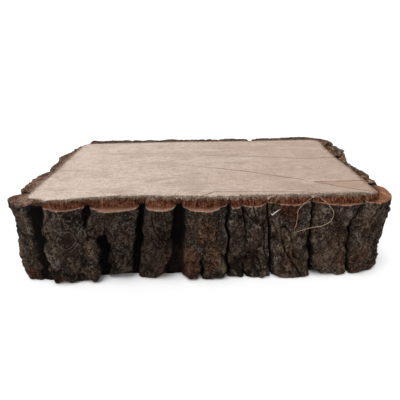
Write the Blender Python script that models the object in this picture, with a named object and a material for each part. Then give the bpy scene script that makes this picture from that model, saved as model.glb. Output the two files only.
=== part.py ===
"""A slice sawn from a log and squared, with furrowed bark left on all four edges.

The slice lies flat: its wide sawn faces are its top and its underside, and the
grain runs straight up.  Wood and bark grew as one, so they are one solid.  A loose
fibre and a splinter, both torn off by the saw, hang on the front edge.

Units are metres.  +X is the long way, +Y goes to the back, +Z is up, and the origin
is the middle of the whole object's footprint, on the surface that it stands on.
"""
import math

import bmesh
import bpy
from mathutils import Vector

COLLECTION_NAME = "wood_slice_part"

# The sawn wood: its thickness, and its corners seen from above, before rounding
THICKNESS = 0.0730
WOOD_CORNERS = (
    ("front", -0.1370, -0.0700),
    ("right", 0.1340, -0.0645),
    ("back", 0.1300, 0.0700),
    ("left", -0.1240, 0.0650),
)
CORNER_RADIUS = 0.0080
BARK_MIDDLE = 0.0080

# Slow bends of the wood's edge: side, place along it, half length, how far it goes in
EDGE_BENDS = (
    ("front", -0.065, 0.080, 0.0055),
    ("right", 0.025, 0.045, 0.0020),
    ("back", -0.030, 0.090, -0.0015),
    ("left", -0.045, 0.035, -0.0015),
)

# The bark all the way round: side, place, thickness at rim and foot, drop of the rim
BARK = (
    ("front", -0.143, 0.0060, 0.0060, 0.0012),
    ("front", -0.122, 0.0085, 0.0070, 0.0030),
    ("front", -0.105, 0.0085, 0.0080, 0.0050),
    ("front", -0.088, 0.0115, 0.0105, 0.0050),
    ("front", -0.066, 0.0125, 0.0080, 0.0050),
    ("front", -0.040, 0.0120, 0.0085, 0.0050),
    ("front", -0.005, 0.0115, 0.0085, 0.0050),
    ("front", 0.033, 0.0075, 0.0085, 0.0050),
    ("front", 0.062, 0.0065, 0.0105, 0.0050),
    ("front", 0.100, 0.0080, 0.0100, 0.0050),
    ("front", 0.120, 0.0110, 0.0095, 0.0052),
    ("front", 0.134, 0.0100, 0.0075, 0.0052),
    ("right", -0.060, 0.0128, 0.0110, 0.0050),
    ("right", -0.052, 0.0140, 0.0140, 0.0050),
    ("right", -0.044, 0.0110, 0.0130, 0.0040),
    ("right", -0.020, 0.0130, 0.0140, 0.0035),
    ("right", 0.015, 0.0120, 0.0130, 0.0030),
    ("right", 0.045, 0.0190, 0.0170, 0.0030),
    ("right", 0.068, 0.0130, 0.0140, 0.0025),
    ("back", 0.100, 0.0110, 0.0120, 0.0006),
    ("back", 0.050, 0.0095, 0.0120, 0.0006),
    ("back", -0.020, 0.0095, 0.0120, 0.0006),
    ("back", -0.095, 0.0120, 0.0120, 0.0006),
    ("back", -0.112, 0.0110, 0.0110, 0.0010),
    ("back", -0.119, 0.0045, 0.0070, 0.0030),
    ("left", 0.0600, 0.0022, 0.0050, 0.0012),
    ("left", 0.0420, 0.0062, 0.0080, 0.0010),
    ("left", 0.0250, 0.0105, 0.0110, 0.0010),
    ("left", 0.0190, 0.0090, 0.0110, 0.0010),
    ("left", -0.0010, 0.0118, 0.0125, 0.0010),
    ("left", -0.0080, 0.0090, 0.0120, 0.0010),
    ("left", -0.0210, 0.0135, 0.0140, 0.0010),
    ("left", -0.0400, 0.0150, 0.0150, 0.0010),
    ("left", -0.0485, 0.0130, 0.0150, 0.0010),
    ("left", -0.0530, 0.0080, 0.0130, 0.0010),
    ("left", -0.0570, 0.0130, 0.0140, 0.0010),
    ("left", -0.0620, 0.0160, 0.0150, 0.0010),
    ("left", -0.0670, 0.0115, 0.0110, 0.0010),
)

# Furrows: side, places from top to foot, widths and depths at top and foot.  A negative
# depth ends the furrow before it gets there.
FURROWS = (
    ("front", (-0.1275, -0.1305, -0.1335), (0.0090, 0.0110), (0.0070, 0.0070)),
    ("front", (-0.0905, -0.0975, -0.0975), (0.0050, 0.0040), (0.0085, -0.0160)),
    ("front", (-0.0760, -0.0805, -0.0855), (0.0060, 0.0100), (-0.0066, 0.0115)),
    ("front", (-0.0495, -0.0545, -0.0605), (0.0050, 0.0060), (0.0090, 0.0080)),
    ("front", (-0.0205, -0.0235, -0.0275), (0.0066, 0.0130), (0.0085, 0.0080)),
    ("front", (0.0015, -0.0015, -0.0055), (0.0020, 0.0040), (-0.0050, 0.0055)),
    ("front", (0.0163, 0.0160, 0.0170), (0.0028, 0.0028), (0.0055, 0.0050)),
    ("front", (0.0270, 0.0295, 0.0310), (0.0016, 0.0022), (0.0025, 0.0035)),
    ("front", (0.0460, 0.0498, 0.0540), (0.0022, 0.0026), (0.0060, 0.0060)),
    ("front", (0.0828, 0.0815, 0.0832, 0.0870), (0.0032, 0.0046), (0.0065, 0.0070)),
    ("front", (0.1214, 0.1125, 0.1145, 0.1185), (0.0030, 0.0032), (0.0055, 0.0050)),
    ("right", (-0.0470, -0.0450, -0.0420), (0.0050, 0.0050), (0.0085, 0.0070)),
    ("right", (-0.0260, -0.0220, -0.0240), (0.0034, 0.0046), (0.0035, 0.0080)),
    ("right", (0.0040, 0.0020, 0.0060), (0.0036, 0.0050), (0.0030, 0.0070)),
    ("right", (0.0270, 0.0310, 0.0290), (0.0040, 0.0050), (0.0070, 0.0085)),
    ("right", (0.0580, 0.0540, 0.0560), (0.0032, 0.0040), (0.0050, 0.0090)),
    ("back", (0.1220, 0.1190, 0.1230), (0.0050, 0.0060), (0.0055, 0.0080)),
    ("back", (0.0860, 0.0900, 0.0880), (0.0030, 0.0040), (0.0010, 0.0070)),
    ("back", (0.0550, 0.0530, 0.0580), (0.0060, 0.0060), (0.0078, 0.0075)),
    ("back", (0.0210, 0.0260, 0.0240), (0.0030, 0.0040), (0.0010, 0.0070)),
    ("back", (-0.0100, -0.0140, -0.0110), (0.0034, 0.0060), (0.0015, 0.0080)),
    ("back", (-0.0430, -0.0400, -0.0450), (0.0030, 0.0050), (0.0010, 0.0075)),
    ("back", (-0.0740, -0.0770, -0.0720), (0.0034, 0.0050), (0.0015, 0.0080)),
    ("back", (-0.1040, -0.1010, -0.1060), (0.0034, 0.0060), (0.0010, 0.0065)),
    ("left", (0.0440, 0.0400, 0.0430), (0.0030, 0.0040), (0.0005, 0.0035)),
    ("left", (0.0180, 0.0210, 0.0170), (0.0034, 0.0050), (0.0015, 0.0055)),
    ("left", (-0.0080, -0.0050, -0.0100), (0.0036, 0.0050), (0.0015, 0.0070)),
    ("left", (-0.0300, -0.0330, -0.0290), (0.0030, 0.0050), (0.0005, 0.0070)),
    ("left", (-0.0520, -0.0500, -0.0530), (0.0050, 0.0060), (0.0035, 0.0080)),
)

# Places where the foot of the bark is worn away: side, place, half length, depth
FOOT_CUTS = (
    ("front", -0.1170, 0.0050, 0.0020),
    ("front", -0.0715, 0.0180, 0.0055),
    ("front", -0.0290, 0.0150, 0.0050),
    ("front", 0.0210, 0.0080, 0.0025),
    ("front", 0.0530, 0.0070, 0.0025),
    ("front", 0.0920, 0.0060, 0.0060),
    ("front", 0.1020, 0.0080, 0.0035),
    ("right", -0.0300, 0.0100, 0.0030),
    ("right", 0.0350, 0.0150, 0.0040),
    ("back", 0.0700, 0.0200, 0.0035),
    ("back", -0.0500, 0.0250, 0.0040),
    ("left", 0.0100, 0.0120, 0.0030),
)
FOOT_CUT_LEVEL = 0.20
FOOT_CUT_CURVE = 1.4
FOOT_CUT_SLOPE = 2.0

# The mesh: heights of the rings up the bark as parts of the rim's height, and spacing
WALL_LEVELS = (0.04, 0.10, 0.18, 0.28, 0.39, 0.50, 0.61, 0.72, 0.82, 0.90, 0.96, 1.0)
PLATE_SPACING = 0.0040
FEWEST_STEPS = 2
HALF_WAY_UP = 0.5

# Each plate's cross-section: its edges' share of the full thickness, and its roundness
SHOULDER = 0.84
RIM_SHOULDER = 0.70
SHOULDER_LEVEL = 0.60
ROUNDNESS = 0.5
LEAST_BARK = 0.0016

# Columns that follow a furrow: offset in parts of its width, and whether on its floor
FURROW_COLUMNS = ((-0.5, False), (-0.2, True), (0.2, True), (0.5, False))

# The chipped foot, and the torn step by the wood
FOOT_GAP = 0.0004
FOOT_CHIP = 0.0022
FOOT_WAVE = 137
STEP_RUN = 0.0028
STEP_SHARE = 0.5
STEP_EXTRA_DROP = 0.0009

# Slow lumps of the bark's face: height, waves along it, slant, waves up it, their start
SWELLS = (
    (0.0006, 190, 3.0, 7.0, 2.0),
    (0.0004, 420, 5.0, 19.0, 0.7),
)

# The loose fibre, from the wood's edge down, round and up again
FIBRE_RADIUS = 0.00035
FIBRE_ROUTE = (
    (0.0850, -0.0670, 0.0720),
    (0.0872, -0.0702, 0.0716),
    (0.0897, -0.0736, 0.0702),
    (0.0926, -0.0750, 0.0672),
    (0.0950, -0.0753, 0.0634),
    (0.0962, -0.0755, 0.0592),
    (0.0950, -0.0756, 0.0545),
    (0.0918, -0.0756, 0.0515),
    (0.0864, -0.0754, 0.0500),
    (0.0806, -0.0752, 0.0490),
    (0.0746, -0.0752, 0.0475),
    (0.0702, -0.0752, 0.0464),
    (0.0680, -0.0752, 0.0480),
    (0.0676, -0.0751, 0.0530),
    (0.0682, -0.0749, 0.0580),
    (0.0692, -0.0744, 0.0632),
    (0.0716, -0.0736, 0.0680),
    (0.0758, -0.0716, 0.0708),
    (0.0808, -0.0684, 0.0718),
)
FIBRE_STEPS = 3
STRAND_FACETS = 2

# The splinter: its two ends and its thickness
SPLINTER_ENDS = ((0.0490, -0.0752, 0.0610), (0.0546, -0.0755, 0.0660))
SPLINTER_RADIUS = 0.0005

BARK_COLOUR = (0.030, 0.022, 0.017)
BARK_ROUGHNESS = 0.9
FIBRE_COLOUR = (0.42, 0.30, 0.19)
SPLINTER_COLOUR = (0.62, 0.58, 0.50)
FIBRE_ROUGHNESS = 0.6


def remove_default_objects():
    for obj in list(bpy.data.objects):
        bpy.data.objects.remove(obj, do_unlink=True)


def new_collection(name):
    collection = bpy.data.collections.new(name)
    bpy.context.scene.collection.children.link(collection)
    return collection


def new_material(name, colour, roughness):
    material = bpy.data.materials.new(name)
    material.use_nodes = True
    shader = material.node_tree.nodes["Principled BSDF"]
    shader.inputs["Base Color"].default_value = (*colour, 1.0)
    shader.inputs["Roughness"].default_value = roughness
    shader.inputs["Metallic"].default_value = 0.0
    return material


class Outline:
    """The wood's rounded outline, walked anticlockwise from its front left corner."""

    def __init__(self):
        corners = [Vector((x, y)) for side, x, y in WOOD_CORNERS]
        self.names = [side for side, x, y in WOOD_CORNERS]
        self.sides = []
        count = len(corners)
        for index in range(count):
            start = corners[index]
            along = (corners[(index + 1) % count] - start).normalized()
            self.sides.append({"corner": start, "along": along})
        position = 0.0
        for index, side in enumerate(self.sides):
            following = self.sides[(index + 1) % count]
            before = self.sides[index - 1]
            turn_in = before["along"].angle(side["along"])
            turn_out = side["along"].angle(following["along"])
            trim = CORNER_RADIUS * math.tan(turn_in / 2)
            end_trim = CORNER_RADIUS * math.tan(turn_out / 2)
            corner_gap = (following["corner"] - side["corner"]).length
            side["begin"] = side["corner"] + side["along"] * trim
            side["length"] = corner_gap - trim - end_trim
            side["turn"] = turn_out
            side["start"] = position
            side["arc"] = (CORNER_RADIUS + BARK_MIDDLE) * turn_out
            position += side["length"] + side["arc"]
        self.total = position

    def place(self, side_name, coordinate):
        """Distance round the outline at which a side has this x (or y, at the ends)."""
        index = self.names.index(side_name)
        side = self.sides[index]
        axis = index % 2
        return side["start"] + (coordinate - side["begin"][axis]) / side["along"][axis]

    def point(self, distance):
        """Point on the wood's edge and the way out from it."""
        distance = distance % self.total
        for side in self.sides:
            local = distance - side["start"]
            if local <= side["length"] + side["arc"]:
                break
        outward = Vector((side["along"].y, -side["along"].x))
        if local <= side["length"]:
            return side["begin"] + side["along"] * local, outward
        end = side["begin"] + side["along"] * side["length"]
        centre = end - outward * CORNER_RADIUS
        angle = side["turn"] * (local - side["length"]) / side["arc"]
        turned = Vector((
            outward.x * math.cos(angle) - outward.y * math.sin(angle),
            outward.x * math.sin(angle) + outward.y * math.cos(angle),
        ))
        return centre + turned * CORNER_RADIUS, turned

    def apart(self, first, second):
        """Shortest signed way from one distance to another round the outline."""
        half = self.total / 2
        return (second - first + half) % self.total - half


def edge_bend(outline, distance):
    """How far the wood's edge lies inside its straight line."""
    inward = 0.0
    for side, place, half_length, amount in EDGE_BENDS:
        reach = abs(outline.apart(outline.place(side, place), distance)) / half_length
        if reach < 1.0:
            inward += amount * (0.5 + 0.5 * math.cos(math.pi * reach))
    return inward


def ease(part):
    """Smooth rise from 0 to 1."""
    part = min(max(part, 0.0), 1.0)
    return part * part * (3 - 2 * part)


def bark_at(outline, distance):
    """Bark's thickness at rim and foot and drop of its rim, eased between the places."""
    places = [(outline.place(side, place) % outline.total, *values)
              for side, place, *values in BARK]
    places.sort()
    after = next((i for i, entry in enumerate(places) if entry[0] > distance % outline.total), 0)
    first = places[after - 1]
    second = places[after]
    span = (second[0] - first[0]) % outline.total
    part = ease(((distance - first[0]) % outline.total) / span)
    return tuple(a + (b - a) * part for a, b in zip(first[1:], second[1:]))


def sorted_furrows(outline):
    """Furrows in walking order, with their places turned into distances."""
    furrows = []
    for side, places, widths, depths in FURROWS:
        distances = [outline.place(side, place) for place in places]
        furrows.append({"places": distances, "widths": widths, "depths": depths})
    furrows.sort(key=lambda furrow: furrow["places"][-1] % outline.total)
    return furrows


def furrow_centre(furrow, level):
    """Distance round the outline of a furrow, at a level from 0 (foot) to 1 (rim)."""
    places = furrow["places"]
    steps = (1 - level) * (len(places) - 1)
    index = min(int(steps), len(places) - 2)
    return places[index] + (places[index + 1] - places[index]) * (steps - index)


def between_ends(values, level):
    """Value at a level, from the values at the top and at the foot."""
    top, foot = values
    return foot + (top - foot) * level


def bark_columns(outline):
    """Columns of the bark, as functions of level: (distance, share of bark, depth)."""
    furrows = sorted_furrows(outline)
    columns = []
    for index, furrow in enumerate(furrows):
        following = furrows[(index + 1) % len(furrows)]
        for offset, is_floor in FURROW_COLUMNS:
            columns.append(furrow_column(furrow, offset, is_floor))
        begin, end = plate_ends(furrow, following, HALF_WAY_UP)
        steps = max(FEWEST_STEPS, round(((end - begin) % outline.total) / PLATE_SPACING))
        for step in range(1, steps):
            columns.append(plate_column(outline, furrow, following, step / steps))
    return columns


def furrow_column(furrow, offset, is_floor):
    """A column that follows a furrow, at an offset in parts of the furrow's width."""
    def column(level):
        width = between_ends(furrow["widths"], level)
        depth = max(between_ends(furrow["depths"], level), 0.0) if is_floor else 0.0
        return furrow_centre(furrow, level) + offset * width, shoulder(level), depth
    return column


def plate_ends(furrow, following, level):
    """Distances at which the plate between two furrows begins and ends."""
    begin = furrow_centre(furrow, level) + between_ends(furrow["widths"], level) / 2
    end = furrow_centre(following, level) - between_ends(following["widths"], level) / 2
    return begin, end


def plate_column(outline, furrow, following, part):
    """A column that runs up a plate, at a part of the way from one furrow to the next."""
    def column(level):
        begin, end = plate_ends(furrow, following, level)
        distance = begin + ((end - begin) % outline.total) * part
        edge = shoulder(level)
        crown = edge + (1.0 - edge) * math.sin(math.pi * part) ** ROUNDNESS
        return distance, crown, 0.0
    return column


def shoulder(level):
    """Share of the thickness left at a plate's edges: less of it near the rim."""
    part = ease((level - SHOULDER_LEVEL) / (1 - SHOULDER_LEVEL))
    return SHOULDER + (RIM_SHOULDER - SHOULDER) * part


def swell(distance, level):
    """Slow lumps of the bark's face."""
    total = 0.0
    for height, waves, slant, climb, start in SWELLS:
        across = math.sin(distance * waves + slant * level)
        total += height * across * math.sin(start + climb * level)
    return total


def foot_wear(outline, distance, level):
    """How much of the bark is worn away near the foot."""
    worn = 0.0
    for side, place, half_length, depth in FOOT_CUTS:
        reach = abs(outline.apart(outline.place(side, place), distance)) / half_length
        worn = max(worn, depth * ease((1 - reach) * FOOT_CUT_SLOPE))
    return worn * max(1 - level / FOOT_CUT_LEVEL, 0.0) ** FOOT_CUT_CURVE


def foot_height(distance):
    """Height of the bark's chipped foot."""
    return FOOT_GAP + FOOT_CHIP * (0.5 + 0.5 * math.sin(distance * FOOT_WAVE)) ** 2


def bark_out(outline, distance, share, depth, level):
    """How far the bark's face stands out from the wood's edge."""
    at_rim, at_foot, drop = bark_at(outline, distance)
    thickness = at_foot + (at_rim - at_foot) * level
    lumps = swell(distance, level) - foot_wear(outline, distance, level)
    return max(LEAST_BARK, thickness * share - depth + lumps)


def ring_points(outline, columns, level):
    """One ring of the outer bark face, from level 0 at the foot to 1 at the rim."""
    points = []
    for column in columns:
        distance, share, depth = column(level)
        out = bark_out(outline, distance, share, depth, level)
        drop = bark_at(outline, distance)[2]
        foot = foot_height(distance)
        rim = THICKNESS - drop
        points.append(outward_point(outline, distance, out, foot + (rim - foot) * level))
    return points


def outward_point(outline, distance, out, z):
    """Point at a height, this far out from the wood's edge."""
    edge, outward = outline.point(distance)
    flat = edge + outward * (out - edge_bend(outline, distance))
    return Vector((flat.x, flat.y, z))


def step_points(outline, columns):
    """Foot of the torn step between the sawn top and the bark's rim."""
    points = []
    for column in columns:
        distance, share, depth = column(1.0)
        drop = bark_at(outline, distance)[2]
        run = min(STEP_RUN, bark_out(outline, distance, share, depth, 1.0) * STEP_SHARE)
        points.append(outward_point(outline, distance, run, THICKNESS - drop - STEP_EXTRA_DROP))
    return points


def wood_points(outline, columns, level, z):
    """The wood's edge at a height, one point for each column."""
    return [outward_point(outline, column(level)[0], 0.0, z) for column in columns]


def make_slice(collection):
    """The slice: closed rings from the underside, up the bark, to the sawn top."""
    outline = Outline()
    columns = bark_columns(outline)
    rings = [wood_points(outline, columns, 0.0, 0.0)]
    rings.append(ring_points(outline, columns, 0.0))
    for level in WALL_LEVELS:
        rings.append(ring_points(outline, columns, level))
    rings.append(step_points(outline, columns))
    rings.append(wood_points(outline, columns, 1.0, THICKNESS))
    return loft_object("wood_slice", rings, collection)


def centre_on_origin(collection):
    """Move everything together, so the footprint's middle is the origin."""
    bpy.context.view_layer.update()
    corners = [obj.matrix_world @ Vector(corner)
               for obj in collection.objects for corner in obj.bound_box]
    for axis in (0, 1):
        lowest = min(corner[axis] for corner in corners)
        highest = max(corner[axis] for corner in corners)
        for obj in collection.objects:
            obj.location[axis] -= (lowest + highest) / 2


def loft_object(name, rings, collection):
    """Closed rings joined by bridges, with a flat face across the first and the last."""
    mesh = bpy.data.meshes.new(name)
    solid = bmesh.new()
    loops = []
    for ring in rings:
        vertices = [solid.verts.new(point) for point in ring]
        loops.append(vertices)
    count = len(rings[0])
    solid.faces.new(reversed(loops[0]))
    for lower, upper in zip(loops, loops[1:]):
        for index in range(count):
            following = (index + 1) % count
            solid.faces.new((lower[index], lower[following], upper[following], upper[index]))
    solid.faces.new(loops[-1])
    side_faces = [face for face in solid.faces if len(face.verts) == 4]
    bmesh.ops.triangulate(solid, faces=side_faces)
    bmesh.ops.recalc_face_normals(solid, faces=solid.faces)
    solid.to_mesh(mesh)
    solid.free()
    obj = bpy.data.objects.new(name, mesh)
    collection.objects.link(obj)
    return obj


def strand_object(name, points, radius, collection):
    """A round strand through the points."""
    curve = bpy.data.curves.new(name, "CURVE")
    curve.dimensions = "3D"
    curve.bevel_depth = radius
    curve.bevel_resolution = STRAND_FACETS
    curve.use_fill_caps = True
    spline = curve.splines.new("POLY")
    spline.points.add(len(points) - 1)
    for target, point in zip(spline.points, points):
        target.co = (*point, 1.0)
    obj = bpy.data.objects.new(name, curve)
    collection.objects.link(obj)
    return obj


def smooth_route(points, steps):
    """Catmull-Rom curve through the points."""
    route = []
    last = len(points) - 1
    for index in range(last):
        before = Vector(points[max(index - 1, 0)])
        start = Vector(points[index])
        end = Vector(points[index + 1])
        after = Vector(points[min(index + 2, last)])
        for step in range(steps):
            t = step / steps
            route.append(0.5 * (
                2 * start + (end - before) * t
                + (2 * before - 5 * start + 4 * end - after) * t * t
                + (3 * start - before - 3 * end + after) * t ** 3
            ))
    route.append(Vector(points[last]))
    return route


def build():
    remove_default_objects()
    collection = new_collection(COLLECTION_NAME)
    wood_slice = make_slice(collection)
    wood_slice.data.materials.append(new_material("bark", BARK_COLOUR, BARK_ROUGHNESS))
    fibre = strand_object("loose_fibre", smooth_route(FIBRE_ROUTE, FIBRE_STEPS),
                          FIBRE_RADIUS, collection)
    fibre.data.materials.append(new_material("fibre", FIBRE_COLOUR, FIBRE_ROUGHNESS))
    splinter = strand_object("splinter", SPLINTER_ENDS, SPLINTER_RADIUS, collection)
    splinter.data.materials.append(new_material("splinter", SPLINTER_COLOUR, FIBRE_ROUGHNESS))
    centre_on_origin(collection)


build()
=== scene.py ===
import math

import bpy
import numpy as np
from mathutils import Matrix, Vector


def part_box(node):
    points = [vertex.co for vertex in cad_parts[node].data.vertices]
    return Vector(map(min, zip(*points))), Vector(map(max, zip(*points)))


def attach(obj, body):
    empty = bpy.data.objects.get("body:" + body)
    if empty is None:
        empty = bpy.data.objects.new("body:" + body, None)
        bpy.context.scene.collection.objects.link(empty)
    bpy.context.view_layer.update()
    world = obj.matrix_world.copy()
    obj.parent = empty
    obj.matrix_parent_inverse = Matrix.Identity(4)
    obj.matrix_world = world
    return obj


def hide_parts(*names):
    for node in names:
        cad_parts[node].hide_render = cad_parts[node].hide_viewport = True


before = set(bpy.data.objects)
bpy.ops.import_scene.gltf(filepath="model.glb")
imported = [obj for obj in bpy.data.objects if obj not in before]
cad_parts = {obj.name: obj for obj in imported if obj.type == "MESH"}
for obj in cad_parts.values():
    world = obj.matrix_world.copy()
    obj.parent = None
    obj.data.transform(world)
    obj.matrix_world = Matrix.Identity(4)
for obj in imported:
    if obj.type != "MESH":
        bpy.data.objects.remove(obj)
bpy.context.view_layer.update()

# The looks of the wood slice: its sawn wood, its bark and the torn fibres on its edge.
# Everything is in metres, in the CAD model's frame.  The bark's shape is one relief,
# worked out at close steps round the wood's outline and cut into four strips.

# The sawn wood, as in the CAD model before it was centred
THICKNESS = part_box("wood_slice")[1][2]
WOOD_CORNERS = (
    ("front", -0.1370, -0.0700),
    ("right", 0.1340, -0.0645),
    ("back", 0.1300, 0.0700),
    ("left", -0.1240, 0.0650),
)
CORNER_RADIUS = 0.0080
BARK_MIDDLE = 0.0080
EDGE_BENDS = (
    ("front", -0.065, 0.080, 0.0055),
    ("right", 0.025, 0.045, 0.0020),
    ("back", -0.030, 0.090, -0.0015),
    ("left", -0.045, 0.035, -0.0015),
)

# The bark all the way round: side, place, thickness at rim and foot, drop of the rim
BARK = (
    ("front", -0.143, 0.0060, 0.0060, 0.0012),
    ("front", -0.122, 0.0085, 0.0070, 0.0030),
    ("front", -0.105, 0.0085, 0.0080, 0.0050),
    ("front", -0.088, 0.0115, 0.0105, 0.0050),
    ("front", -0.066, 0.0125, 0.0080, 0.0050),
    ("front", -0.040, 0.0120, 0.0085, 0.0050),
    ("front", -0.005, 0.0115, 0.0085, 0.0050),
    ("front", 0.033, 0.0075, 0.0085, 0.0050),
    ("front", 0.062, 0.0065, 0.0105, 0.0050),
    ("front", 0.100, 0.0080, 0.0100, 0.0050),
    ("front", 0.120, 0.0110, 0.0095, 0.0052),
    ("front", 0.134, 0.0100, 0.0075, 0.0044),
    ("right", -0.060, 0.0126, 0.0135, 0.0022),
    ("right", -0.052, 0.0134, 0.0165, 0.0012),
    ("right", -0.043, 0.0092, 0.0140, 0.0012),
    ("right", -0.020, 0.0124, 0.0140, 0.0030),
    ("right", 0.015, 0.0120, 0.0130, 0.0030),
    ("right", 0.045, 0.0190, 0.0170, 0.0030),
    ("right", 0.068, 0.0130, 0.0140, 0.0010),
    ("back", 0.100, 0.0110, 0.0120, 0.0006),
    ("back", 0.050, 0.0095, 0.0120, 0.0004),
    ("back", -0.020, 0.0090, 0.0120, 0.0004),
    ("back", -0.095, 0.0110, 0.0120, 0.0004),
    ("back", -0.1165, 0.0105, 0.0110, 0.0006),
    ("back", -0.1225, 0.0040, 0.0070, 0.0030),
    ("left", 0.0600, 0.0016, 0.0050, 0.0010),
    ("left", 0.0420, 0.0056, 0.0080, 0.0008),
    ("left", 0.0250, 0.0092, 0.0110, 0.0008),
    ("left", 0.0190, 0.0074, 0.0110, 0.0008),
    ("left", -0.0010, 0.0098, 0.0125, 0.0008),
    ("left", -0.0080, 0.0070, 0.0115, 0.0008),
    ("left", -0.0210, 0.0112, 0.0130, 0.0008),
    ("left", -0.0400, 0.0118, 0.0140, 0.0008),
    ("left", -0.0485, 0.0104, 0.0140, 0.0008),
    ("left", -0.0530, 0.0060, 0.0125, 0.0010),
    ("left", -0.0570, 0.0116, 0.0138, 0.0010),
    ("left", -0.0620, 0.0132, 0.0142, 0.0010),
    ("left", -0.0670, 0.0100, 0.0110, 0.0010),
)

# Furrows: side, places from top to foot, widths and depths at top and foot, raggedness
FURROWS = (
    ("front", (-0.1285, -0.1325, -0.1330), (0.0140, 0.0140), (0.0080, 0.0080), 0.5),
    ("front", (-0.0905, -0.0975, -0.0940), (0.0052, 0.0060), (0.0090, -0.0170), 0.8),
    ("front", (-0.0770, -0.0805, -0.0850), (0.0056, 0.0080), (-0.0260, 0.0560), 1.7),
    ("front", (-0.0495, -0.0545, -0.0605), (0.0052, 0.0062), (0.0090, 0.0080), 0.8),
    ("front", (-0.0205, -0.0235, -0.0275), (0.0066, 0.0150), (0.0085, 0.0080), 0.8),
    ("front", (0.0015, -0.0015, -0.0055), (0.0020, 0.0040), (-0.0050, 0.0060), 1.4),
    ("front", (0.0163, 0.0160, 0.0170), (0.0026, 0.0026), (0.0055, 0.0050), 2.0),
    ("front", (0.0270, 0.0295, 0.0310), (0.0014, 0.0020), (0.0030, 0.0040), 1.8),
    ("front", (0.0460, 0.0498, 0.0540), (0.0020, 0.0024), (0.0060, 0.0060), 0.4),
    ("front", (0.0828, 0.0815, 0.0832, 0.0870), (0.0030, 0.0046), (0.0065, 0.0070), 1.4),
    ("front", (0.1214, 0.1125, 0.1145, 0.1185), (0.0030, 0.0030), (0.0055, 0.0050), 1.0),
    ("right", (-0.0470, -0.0450, -0.0420), (0.0050, 0.0050), (0.0080, 0.0070), 1.0),
    ("right", (-0.0260, -0.0220, -0.0240), (0.0032, 0.0046), (0.0030, 0.0080), 1.4),
    ("right", (0.0040, 0.0020, 0.0060), (0.0036, 0.0050), (0.0020, 0.0070), 1.4),
    ("right", (0.0270, 0.0310, 0.0290), (0.0040, 0.0050), (0.0060, 0.0085), 1.2),
    ("right", (0.0580, 0.0540, 0.0560), (0.0030, 0.0040), (0.0045, 0.0090), 1.4),
    ("back", (0.1220, 0.1190, 0.1230), (0.0050, 0.0060), (0.0008, 0.0080), 1.0),
    ("back", (0.0860, 0.0900, 0.0880), (0.0030, 0.0040), (0.0004, 0.0070), 1.2),
    ("back", (0.0550, 0.0530, 0.0580), (0.0060, 0.0060), (0.0090, 0.0075), 0.8),
    ("back", (0.0210, 0.0260, 0.0240), (0.0030, 0.0040), (0.0015, 0.0070), 1.4),
    ("back", (-0.0100, -0.0140, -0.0110), (0.0034, 0.0060), (0.0018, 0.0080), 1.2),
    ("back", (-0.0430, -0.0400, -0.0450), (0.0030, 0.0050), (0.0015, 0.0075), 1.4),
    ("back", (-0.0740, -0.0770, -0.0720), (0.0034, 0.0050), (0.0012, 0.0080), 1.2),
    ("back", (-0.1040, -0.1010, -0.1060), (0.0034, 0.0060), (0.0006, 0.0065), 1.0),
    ("left", (0.0440, 0.0400, 0.0430), (0.0030, 0.0040), (0.0002, 0.0040), 1.2),
    ("left", (0.0180, 0.0210, 0.0170), (0.0034, 0.0050), (0.0010, 0.0060), 1.2),
    ("left", (-0.0080, -0.0050, -0.0100), (0.0036, 0.0050), (0.0010, 0.0070), 1.2),
    ("left", (-0.0300, -0.0330, -0.0290), (0.0030, 0.0050), (0.0002, 0.0070), 1.4),
    ("left", (-0.0520, -0.0500, -0.0530), (0.0050, 0.0060), (0.0030, 0.0080), 1.0),
)

# The thinnest bark left anywhere, and the deepest furrow
LEAST_BARK = 0.0012
DEEPEST = 0.0125

# Places where the foot of the bark is worn away: side, place, half length, depth
FOOT_CUTS = (
    ("front", -0.1170, 0.0050, 0.0020),
    ("front", -0.0715, 0.0180, 0.0075),
    ("front", -0.0290, 0.0150, 0.0060),
    ("front", 0.0210, 0.0080, 0.0025),
    ("front", 0.0530, 0.0070, 0.0025),
    ("front", 0.0920, 0.0060, 0.0080),
    ("front", 0.1020, 0.0080, 0.0035),
    ("right", -0.0300, 0.0100, 0.0030),
    ("right", 0.0350, 0.0150, 0.0040),
    ("back", 0.0700, 0.0200, 0.0035),
    ("back", -0.0500, 0.0250, 0.0040),
    ("left", 0.0100, 0.0120, 0.0030),
)
FOOT_CUT_HEIGHT = 0.0140

# Where the four strips of bark meet: in the floor of a furrow near each corner
STRIPS = (
    ("bark_front", ("front", -0.1320), ("right", -0.0450)),
    ("bark_right", ("right", -0.0450), ("back", 0.1190)),
    ("bark_back", ("back", 0.1190), ("back", -0.1010)),
    ("bark_left", ("back", -0.1010), ("front", -0.1320)),
)

# Steps of the relief, and rows of each strip from the underside up to the wood's edge
COLUMN_STEP = 0.00060
UNDER_ROWS = 12
WALL_ROWS = 122
LEDGE_ROWS = 14
STEP_ROWS = 10
RIM_SAMPLE = 0.004

# How far the bark tucks under the wood's edge, how far that edge is frayed, most of all
# near the front corners, and how far the torn step runs out from it
TUCK = 0.0003
NIBBLE = 0.0010
CORNER_NIBBLE = 0.0048
CORNER_SPREAD = 0.0022
CORNER_REACH = 0.019
STEP_RUN = 0.0026
LEAST_RUN = 0.0010

# Height of the bark's underside, and how far the torn step ends below the sawn top
UNDER_LIFT = 0.0002
STEP_GAP = 0.0001

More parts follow.
